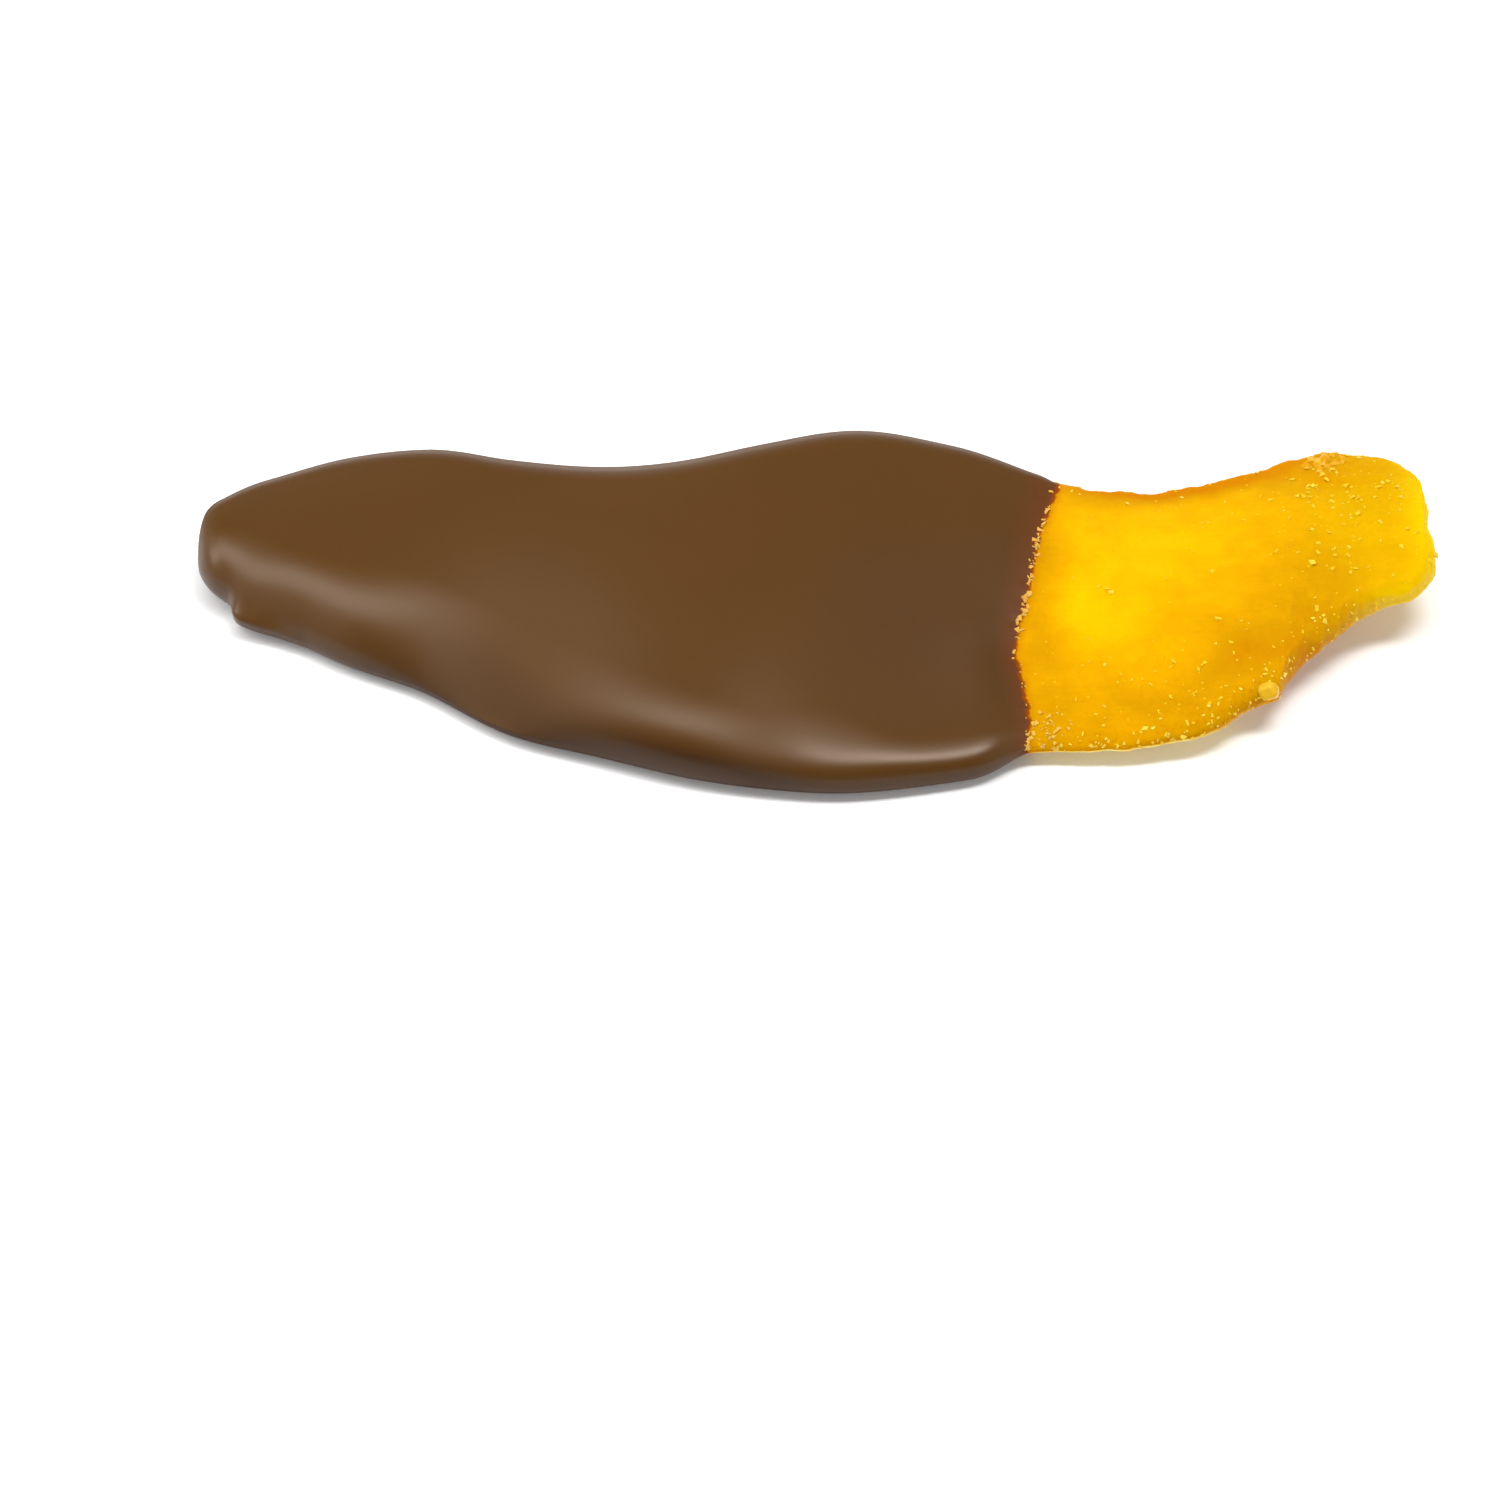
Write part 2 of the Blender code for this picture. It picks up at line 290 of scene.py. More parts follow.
    def section(self, stations: np.ndarray) -> Section:
        """Cross-sections of the slice, with the uneven edge of its bare end.

        Args:
            stations: One station a section.

        Returns:
            The ends of each section, their outward directions and how much of its height it has.
        """
        ends = []
        nudge = 0.05
        near_line = self.edge_line(self.near_edge, self.far_edge)
        far_line = self.edge_line(self.far_edge, self.near_edge)
        for line, turn in ((near_line, -1), (far_line, 1)):
            at = line(stations)
            run = line(stations + nudge) - line(stations - nudge)
            out = np.stack((-run[:, 1], run[:, 0]), axis=1) * turn
            out /= np.linalg.norm(out, axis=1)[:, None]
            flat = np.column_stack((at, np.zeros(len(at))))
            coarse = self.crag * smooth_noise(flat, self.crag_pitch, self.seed)
            fine = self.fine_crag * smooth_noise(flat, self.fine_crag_pitch, self.seed)
            stand = (coarse + fine) * self.bareness(at[:, 0])
            if turn < 0:
                stand += self.lump * np.exp(-(((at[:, 0] - self.lump_at) / self.lump_reach) ** 2))
            ends.append((at + out * stand[:, None], out))
        (near, near_out), (far, far_out) = ends
        behind_left = stations**2 / (2 * self.left_end_radius)
        behind_right = (self.length - stations) ** 2 / (2 * self.right_end_radius)
        share = round_over(behind_left, self.left_end_round) * round_over(behind_right, self.right_end_round)
        return Section(near, far, near_out, far_out, share)

    def underside(self, x: np.ndarray) -> np.ndarray:
        """Height of the mango's underside, which curls up towards both tips."""
        left = np.maximum(0.0, self.left_curl_from - x) / self.left_curl_reach
        right = np.maximum(0.0, x - self.right_curl_from) / self.right_curl_reach
        return self.floor_to_mango + self.left_curl * left**2 + self.right_curl * right**2

    def skin(
        self,
        stations: np.ndarray,
        angles: np.ndarray,
        layer: np.ndarray,
        along: np.ndarray | float = 0.0,
        drips: bool = False,
    ) -> np.ndarray:
        """Grid of points that lie a layer's thickness outside the mango.

        Args:
            stations: One station a row.
            angles: One angle a column.
            layer: Thickness of the layer for each row.
            along: Shift along the slice, for each row and column.
            drips: Whether the layer has run down to a drip at the foot of the near side.

        Returns:
            Places in millimetres, rows by columns by x y z.
        """
        cut = self.section(stations)
        across = (1 + np.cos(angles))[None, :] / 2
        skin = layer[:, None]
        near = cut.near[:, None] + cut.near_out[:, None] * skin[..., None]
        far = cut.far[:, None] + cut.far_out[:, None] * skin[..., None]
        width = np.linalg.norm(far - near, axis=-1)
        spot = near + (far - near) * across[..., None]
        bite = np.exp(-(((spot[..., 1] - self.notch_at) / self.notch_half_width) ** 2))
        spot[..., 0] -= self.notch * bite * ease(1 - (self.length - stations) / self.notch_reach)[:, None]
        spot[..., 0] += along
        x = spot[..., 0]
        low = self.underside(x)
        side = ease(across)
        edge_top = (1 - side) * self.near_top(x) + side * self.far_top(x)
        widest = (1 - side) * self.near_widest(x) + side * self.far_widest
        level = low + widest * (edge_top - low)
        end = cut.end_share[:, None]
        near_in, far_in = across * width, (1 - across) * width
        flat = np.concatenate((spot, np.zeros_like(x)[..., None]), axis=-1)
        roll = self.roll * smooth_noise(flat, self.roll_pitch, self.seed) * self.bareness(x)
        top = edge_top + self.crown * 4 * across * (1 - across) + roll + skin
        over = self.near_shoulder(near_in, x, skin)
        over = over * round_over(far_in, self.far_round(x) + skin)
        under = round_over(near_in, self.lower_round + skin) * round_over(far_in, self.lower_round + skin)
        upper = level + (top - level) * over * end
        lower = level - (level - low + skin) * under * end
        is_upper = np.sin(angles)[None, :] >= 0
        z = np.where(is_upper, upper, lower)
        if drips:
            foot = (1 - ease(2 * across)) * np.where(is_upper, (1 - over) ** 3, 1.0)
            spot += cut.near_out[:, None] * (self.drip(x) * foot)[..., None]
        return np.concatenate((spot, z[..., None]), axis=-1)

    def near_shoulder(self, distance: np.ndarray, x: np.ndarray, skin: np.ndarray) -> np.ndarray:
        """Share of the full height near the near edge, which slopes up evenly or rounds over."""
        inside = 1 - np.clip(distance / (self.near_round(x) + skin), 0.0, 1.0)
        return (1 - inside * inside) ** (1 / self.near_steep(x))

    def angles(self, count: int, top_share: float) -> np.ndarray:
        """Angles round a section, closer together over the top face.

        Args:
            count: Number of angles.
            top_share: Share of them on the top face.

        Returns:
            The angles, of which the last comes back to the first.
        """
        turn = np.linspace(0.0, 1.0, count + 1)
        over = math.pi * turn / top_share
        under = math.pi + math.pi * (turn - top_share) / (1 - top_share)
        return np.where(turn < top_share, over, under)


class Graph:
    """Node graph of one material, whose shader is ready made."""

    def __init__(self, name: str) -> None:
        """Makes the material and clears its default nodes.

        Args:
            name: Name of the real material.
        """
        self.material = bpy.data.materials.new(name)
        self.material.use_nodes = True
        self.tree = self.material.node_tree
        self.surface = self.tree.nodes["Principled BSDF"]

    def add(
        self, kind: str, inputs: dict[str | int, object] | None = None, **settings: object
    ) -> bpy.types.Node:
        """Adds a node with its settings and links.

        Args:
            kind: Blender's name for the kind of node.
            inputs: Socket name or number, and the value or socket that it takes.
            **settings: Properties of the node.

        Returns:
            The new node.
        """
        node = self.tree.nodes.new(kind)
        for name, value in settings.items():
            setattr(node, name, value)
        self.feed(node, inputs or {})
        return node

    def feed(self, node: bpy.types.Node, inputs: dict[str | int, object]) -> None:
        """Gives values and links to the sockets of a node.

        Args:
            node: The node that takes them.
            inputs: Socket name or number, and the value or socket that it takes.
        """
        for name, value in inputs.items():
            if isinstance(value, bpy.types.NodeSocket):
                self.tree.links.new(value, node.inputs[name])
            else:
                node.inputs[name].default_value = value

    def shaded(self, values: dict[str | int, object]) -> bpy.types.Material:
        """Feeds the shader and gives the finished material."""
        self.feed(self.surface, values)
        return self.material


@dataclass(frozen=True)
class MilkChocolate:
    """Tempered milk chocolate, dipped and set.

    It has a satin skin that mirrors lights as soft bands, a hardly seen flow mottle, duller spells
    where it set slowly, and it lets the fruit's red show where it thins out at the dip line. Its steep
    sides and its foot are painted darker as painted shade, and part of its top is a darker tone.
    """

    body: str = "#583812"
    cloud: str = "#52330d"
    # Painted shade for the coat's steep sides and foot, also a darker tone on part of its top
    painted_shade_and_tone: str = "#391d03"
    blush: str = "#633311"
    thin: str = "#7c370c"
    satin: Span = (0.27, 0.33)
    dull_rise: float = 0.36
    # The flow mottle follows the chocolate as it ran off the slice, in spells of about 9 mm
    cloud_mm: float = 9.0
    blush_reach_mm: float = 3.4
    blush_share: float = 0.75
    # Set chocolate has a grain of some hundredths of a millimetre, drawn coarser here to show
    grain_mm: float = 0.5
    grain_depth_mm: float = 0.006
    thin_reach_mm: float = 0.55
    thin_start: float = -1.0
    thin_end: float = 0.6
    thin_ragged: float = 0.5
    thin_share: float = 0.85

    def build(self) -> bpy.types.Material:
        """Builds the material."""
        graph = Graph("milk_chocolate_tempered")
        place = graph.add("ShaderNodeTexCoord").outputs["Object"]
        cloud, grain = (
            graph.add(
                "ShaderNodeTexNoise",
                {"Vector": place, "Scale": 1 / (size * MM), "Detail": detail, "Roughness": rough},
            ).outputs["Fac"]
            for size, detail, rough in ((self.cloud_mm, 3.0, 0.45), (self.grain_mm, 4.0, 0.5))
        )
        from_lip, dull, painted_shade_and_tone = (
            graph.add("ShaderNodeAttribute", attribute_name=name).outputs["Fac"]
            for name in ("from_lip", "dullness", "painted_shade_and_tone")
        )
        reach = self.thin_reach_mm
        ragged = graph.add(
            "ShaderNodeMath", {0: grain, 1: self.thin_ragged * reach, 2: from_lip}, operation="MULTIPLY_ADD"
        ).outputs[0]
        blush, thinness = (
            graph.add(
                "ShaderNodeMapRange",
                {"Value": value, "From Min": start, "From Max": end, "To Min": 0.0, "To Max": share},
                interpolation_type="SMOOTHSTEP",
            ).outputs[0]
            for value, start, end, share in (
                (from_lip, -self.blush_reach_mm, 0.0, self.blush_share),
                (ragged, self.thin_start * reach, self.thin_end * reach, self.thin_share),
            )
        )
        colour = linear(self.body)
        # One of these mixes paints shade on the steep sides and foot, with a darker tone on part of the top
        shades = ((cloud, self.cloud), (painted_shade_and_tone, self.painted_shade_and_tone), (blush, self.blush), (thinness, self.thin))
        for share, shade in shades:
            mixed = graph.add("ShaderNodeMix", {0: share, 6: colour, 7: linear(shade)}, data_type="RGBA")
            colour = mixed.outputs[2]
        sheen = graph.add(
            "ShaderNodeMapRange", {"Value": cloud, "To Min": self.satin[0], "To Max": self.satin[1]}
        )
        dulled = graph.add(
            "ShaderNodeMath", {0: dull, 1: self.dull_rise, 2: sheen.outputs[0]}, operation="MULTIPLY_ADD"
        )
        bump = graph.add(
            "ShaderNodeBump", {"Height": grain, "Distance": self.grain_depth_mm * MM, "Strength": 1.0}
        )
        return graph.shaded(
            {
                "Base Color": colour,
                "Roughness": dulled.outputs[0],
                "Normal": bump.outputs[0],
                "IOR": 1.46,
                "Specular IOR Level": 0.42,
                "Specular Tint": linear("#fff0df"),
                "Subsurface Weight": 0.06,
                "Subsurface Radius": (0.7, 0.35, 0.2),
                "Subsurface Scale": 1.0 * MM,
            }
        )


@dataclass(frozen=True)
class DriedMangoFlesh:
    """Sugared dried mango flesh, pressed flat and air dried.

    It is translucent and saturated, deepest in colour along its rims, with fine fibres along the
    slice, a granular skin, and a brown stain where the chocolate ends. Painted shade darkens the
    hollows of its grain near the outline. Its lower rim is paler, partly a frost of sugar and partly
    painted light, and the steep sides of its lemon tip are painted lighter as painted light.
    """

    bright: str = "#f0bb00"
    flesh: str = "#dea200"
    amber: str = "#ca9000"
    rim: str = "#c47a00"
    # Painted shade in the hollows of the grain near the outline
    pit_shade: str = "#b46400"
    # Pale colour of the lower rim, partly a frost of sugar and partly painted light, and painted light alone
    # on the steep sides of the lemon tip
    pale_frost_and_light: str = "#ffe478"
    lemon: str = "#e2bc00"
    stain: str = "#8a3f0a"
    halo: str = "#cb8402"
    speck: str = "#f2cc30"
    bright_at: float = 0.05
    flesh_at: float = 0.4
    amber_at: float = 0.7
    stain_mm: float = 0.34
    stain_inside_mm: float = 0.25
    halo_mm: float = 0.8
    halo_inside_mm: float = 0.2
    halo_share: float = 0.9
    ragged_mm: float = 0.4
    mottle_mm: float = 3.2
    mottle_share: float = 0.55
    # The dried skin is pitted every 0.2 mm or so, drawn at twice that to show
    grain_mm: float = 0.42
    grain_depth_mm: float = 0.05
    hollows: Span = (0.38, 0.47)
    # The fibres are about 0.1 mm thick, drawn three times as coarse to show
    fibre_mm: float = 0.32
    fibre_length: float = 14.0
    fibre_share: float = 0.12
    fibre_relief: float = 0.35
    # Sugar dust is finer than the dots of 0.2 mm that stand for it, one in a cell of 0.55 mm
    dust_mm: float = 0.55
    dust_size: Span = (0.12, 0.26)
    dust_share: float = 0.55
    dust_relief: float = 0.8
    sheen: Span = (0.38, 0.6)

    def build(self) -> bpy.types.Material:
        """Builds the material."""
        graph = Graph("dried_mango_flesh_sugared")
        place = graph.add("ShaderNodeTexCoord").outputs["Object"]
        lip, depth, lemon, rough, pitted_shade, frost_and_painted_light = (
            graph.add("ShaderNodeAttribute", attribute_name=name).outputs["Fac"]
            for name in ("from_lip", "depth", "lemon", "graininess", "pitted_shade", "frost_and_painted_light")
        )
        drawn_out = (1 / self.fibre_length, 1.0, 1.0)
        along = graph.add("ShaderNodeMapping", {"Vector": place, "Scale": drawn_out})
        mottle, grain, fibre = (
            graph.add(
                "ShaderNodeTexNoise",
                {"Vector": at, "Scale": 1 / (size * MM), "Detail": detail, "Roughness": fine},
            ).outputs["Fac"]
            for at, size, detail, fine in (
                (place, self.mottle_mm, 5.0, 0.6),
                (place, self.grain_mm, 5.0, 0.6),
                (along.outputs[0], self.fibre_mm, 2.0, 0.5),
            )
        )
        deepness = depth
        for value, share in ((mottle, self.mottle_share), (fibre, self.fibre_share), (grain, rough)):
            summed = graph.add("ShaderNodeMath", {0: value, 1: share, 2: deepness}, operation="MULTIPLY_ADD")
            deepness = summed.outputs[0]
        tone = graph.add("ShaderNodeValToRGB", {"Fac": deepness})
        ramp = tone.color_ramp
        ramp.elements[0].position = self.bright_at
        ramp.elements[0].color = linear(self.bright)
        ramp.elements[1].position = 1.0
        ramp.elements[1].color = linear(self.rim)
        ramp.elements.new(self.flesh_at).color = linear(self.flesh)
        ramp.elements.new(self.amber_at).color = linear(self.amber)
        ragged = graph.add(
            "ShaderNodeMath", {0: grain, 1: -self.ragged_mm, 2: lip}, operation="MULTIPLY_ADD"
        ).outputs[0]
        cells = graph.add("ShaderNodeTexVoronoi", {"Vector": place, "Scale": 1 / (self.dust_mm * MM)})
        hollow, halo, stain, dot = (
            graph.add(
                "ShaderNodeMapRange",
                {"Value": value, "From Min": start, "From Max": end, "To Min": full, "To Max": 0.0},
                interpolation_type="SMOOTHSTEP",
            ).outputs[0]
            for value, (start, end), full in (
                (grain, self.hollows, 1.0),
                (ragged, (-self.halo_inside_mm, self.halo_mm), self.halo_share),
                (ragged, (-self.stain_inside_mm, self.stain_mm - self.stain_inside_mm), 1.0),
                (cells.outputs["Distance"], self.dust_size, 1.0),
            )
        )
        chosen = graph.add("ShaderNodeSeparateColor", {"Color": cells.outputs["Color"]})
        dust = graph.add("ShaderNodeMath", {0: rough, 1: chosen.outputs[0]}, operation="GREATER_THAN")
        # The pit mask paints shade into hollows of the grain near the outline
        pit_shade, dusted = (
            graph.add("ShaderNodeMath", {0: one, 1: other}, operation="MULTIPLY").outputs[0]
            for one, other in ((hollow, pitted_shade), (dust.outputs[0], dot))
        )
        shown = graph.add("ShaderNodeMath", {0: dusted, 1: self.dust_share}, operation="MULTIPLY")
        colour = tone.outputs[0]
        shares = (pit_shade, lemon, frost_and_painted_light, halo, stain, shown.outputs[0])
        shades = (self.pit_shade, self.lemon, self.pale_frost_and_light, self.halo, self.stain, self.speck)
        for share, shade in zip(shares, shades):
            mixed = graph.add("ShaderNodeMix", {0: share, 6: colour, 7: linear(shade)}, data_type="RGBA")
            colour = mixed.outputs[2]
        relief = grain
        for value, share in ((dusted, self.dust_relief), (fibre, self.fibre_relief)):
            summed = graph.add("ShaderNodeMath", {0: value, 1: share, 2: relief}, operation="MULTIPLY_ADD")
            relief = summed.outputs[0]
        bump = graph.add(
            "ShaderNodeBump", {"Height": relief, "Distance": self.grain_depth_mm * MM, "Strength": 0.8}
        )
        sheen = graph.add(
            "ShaderNodeMapRange", {"Value": mottle, "To Min": self.sheen[0], "To Max": self.sheen[1]}
        )
        return graph.shaded(
            {
                "Base Color": colour,
                "Roughness": sheen.outputs[0],
                "Normal": bump.outputs[0],
                "IOR": 1.45,
                "Specular IOR Level": 0.08,
                "Specular Tint": linear("#ffb400"),
                "Subsurface Weight": 0.6,
                "Subsurface Radius": (1.0, 0.55, 0.12),
                "Subsurface Scale": 1.1 * MM,
            }
        )


@dataclass(frozen=True)
class SugarCrystal:
    """Crystallised sugar, tinted by the fruit under it, or toasted where it meets the chocolate.

    It is glassy and slightly cloudy. Each crystal has its own paleness.
    """

    name: str = "crystallised_sugar"
    juicy: str = "#f0b80a"
    pale: str = "#f9da50"
    toasted: str = "#d99a4c"
    roughness: float = 0.3
    cloud_mm: float = 0.4
    streaks: float = 0.3
    streak_start: float = 0.0

    def build(self) -> bpy.types.Material:
        """Builds the material."""
        graph = Graph(self.name)
        place = graph.add("ShaderNodeTexCoord").outputs["Object"]
        pale, toast = (
            graph.add("ShaderNodeAttribute", attribute_name=name).outputs["Fac"]
            for name in ("paleness", "toast")
        )
        cloud = graph.add("ShaderNodeTexNoise", {"Vector": place, "Scale": 1 / (self.cloud_mm * MM)})
        streak = graph.add(
            "ShaderNodeMath", {0: cloud.outputs["Fac"], 1: self.streak_start}, operation="SUBTRACT"
        )
        clouded = graph.add(
            "ShaderNodeMath", {0: streak.outputs[0], 1: self.streaks, 2: pale}, operation="MULTIPLY_ADD"
        )
        colour = linear(self.juicy)
        for share, shade in ((clouded.outputs[0], self.pale), (toast, self.toasted)):
            mixed = graph.add("ShaderNodeMix", {0: share, 6: colour, 7: linear(shade)}, data_type="RGBA")
            colour = mixed.outputs[2]
        return graph.shaded(
            {
                "Base Color": colour,
                "Roughness": self.roughness,
                "IOR": 1.5,
                "Specular IOR Level": 0.3,
                "Specular Tint": linear("#ffe08a"),
                "Subsurface Weight": 0.5,
                "Subsurface Radius": (1.0, 0.8, 0.3),
                "Subsurface Scale": 0.2 * MM,
            }
        )


@dataclass(frozen=True)
class DriedSyrup:
    """Fruit syrup that dried as a clear amber drop, glossy, with a cloud of fine sugar inside."""

    body: str = "#d09c08"
    cloud: str = "#e2bc34"
    cloud_mm: float = 0.7

    def build(self) -> bpy.types.Material:
        """Builds the material."""
        graph = Graph("dried_fruit_syrup")
        place = graph.add("ShaderNodeTexCoord").outputs["Object"]
        cloud = graph.add(
            "ShaderNodeTexNoise", {"Vector": place, "Scale": 1 / (self.cloud_mm * MM), "Detail": 3.0}
        )
        colour = graph.add(
            "ShaderNodeMix",
            {0: cloud.outputs["Fac"], 6: linear(self.body), 7: linear(self.cloud)},
            data_type="RGBA",
        )
        bump = graph.add(
            "ShaderNodeBump", {"Height": cloud.outputs["Fac"], "Distance": 0.05 * MM, "Strength": 0.6}
        )
        return graph.shaded(
            {
                "Base Color": colour.outputs[2],
                "Roughness": 0.2,
                "Normal": bump.outputs[0],
                "IOR": 1.48,
                "Specular IOR Level": 0.4,
                "Specular Tint": linear("#ffe08a"),
                "Subsurface Weight": 0.8,
                "Subsurface Radius": (1.0, 0.7, 0.15),
                "Subsurface Scale": 0.8 * MM,
            }
        )


@dataclass(frozen=True)
class TablePaper:
    """Matt white paper of the table, faintly lit from below, with a faint tooth."""

    body: str = "#f7f7f7"
    glow: float = 0.14
    # The tooth of paper is about 0.1 mm, drawn much coarser so that it shows at all
    tooth_mm: float = 1.2

    def build(self) -> bpy.types.Material:
        """Builds the material."""
        graph = Graph("white_paper_matt")
        place = graph.add("ShaderNodeTexCoord").outputs["Object"]
        tooth = graph.add("ShaderNodeTexNoise", {"Vector": place, "Scale": 1 / (self.tooth_mm * MM)})
        bump = graph.add(
            "ShaderNodeBump", {"Height": tooth.outputs["Fac"], "Distance": 0.01 * MM, "Strength": 0.2}
        )
        return graph.shaded(
            {
                "Base Color": linear(self.body),
                "Roughness": 0.9,
                "Specular IOR Level": 0.1,
                "Normal": bump.outputs[0],
                "Emission Color": linear(self.body),
                "Emission Strength": self.glow,
            }
        )


def dress(
    bm: bmesh.types.BMesh, name: str, finish: bpy.types.Material, smooth: bool = True
) -> bpy.types.Object:
    """Turns a finished bmesh into an object in the scene.

    Args:
        bm: The mesh in metres, which is freed.
        name: Name of the piece.
        finish: Its material.
        smooth: Whether it is shaded smooth.

    Returns:
        The object, at the origin.
    """
    mesh = bpy.data.meshes.new(name)
    bm.to_mesh(mesh)
    bm.free()
    mesh.materials.append(finish)
    if smooth:
        mesh.shade_smooth()
    piece = bpy.data.objects.new(name, mesh)
    bpy.context.scene.collection.objects.link(piece)
    LOG.info("%s: %d triangles", name, sum(len(face.vertices) - 2 for face in mesh.polygons))
    return piece


def wrapped_grid(places: np.ndarray, layers: dict[str, np.ndarray]) -> bmesh.types.BMesh:
    """A flat grid rolled into a closed skin, whose first and last rows each meet in one point.

    Args:
        places: Rows by columns by x y z in metres. The last column repeats the first.
        layers: Values to keep on the mesh by name, each rows by columns.

    Returns:
        The closed mesh.
    """
    rows, columns = places.shape[0] - 1, places.shape[1] - 1
    bm = bmesh.new()
    bmesh.ops.create_grid(bm, x_segments=columns, y_segments=rows, size=1.0)
    kept = {name: bm.verts.layers.float.new(name) for name in layers}
    for vert in bm.verts:
        column = round((vert.co.x + 1) / 2 * columns)
        row = round((vert.co.y + 1) / 2 * rows)
        vert.co = places[row, column]
        for name, layer in kept.items():
            vert[layer] = layers[name][row, column]
    bmesh.ops.remove_doubles(bm, verts=bm.verts, dist=SAME_PLACE)
    bmesh.ops.dissolve_degenerate(bm, dist=NO_LENGTH, edges=bm.edges)
    bm.normal_update()
    if bm.calc_volume(signed=True) < 0:
        bmesh.ops.reverse_faces(bm, faces=bm.faces)
        bm.normal_update()
    return bm


@dataclass(frozen=True)
class Patch:
    """Soft oval area of the bare end in plan, in millimetres, and how strongly it acts."""

    x: float
    y: float
    reach_x: float
    reach_y: float
    amount: float

    def at(self, places: np.ndarray) -> np.ndarray:
        """Strength of the patch at each place."""
        away_x = (places[..., 0] - self.x) / self.reach_x
        away_y = (places[..., 1] - self.y) / self.reach_y
        return self.amount * np.exp(-(away_x**2) - away_y**2)


@dataclass(frozen=True)
class EdgeBand:
    """Band of another tone along the outline of the slice, within a patch."""

    area: Patch
    width: float

    def at(self, places: np.ndarray, from_edge: np.ndarray) -> np.ndarray:
        """Strength of the band at each place, which lies so far from the outline."""
        return self.area.at(places) * np.exp(-((from_edge / self.width) ** 2))


def crowded(turn: np.ndarray, crowding: float) -> np.ndarray:
    """Spacing of rows that crowds them towards both ends of a run."""
    return crowding * (1 - np.cos(np.pi * turn)) / 2 + (1 - crowding) * turn


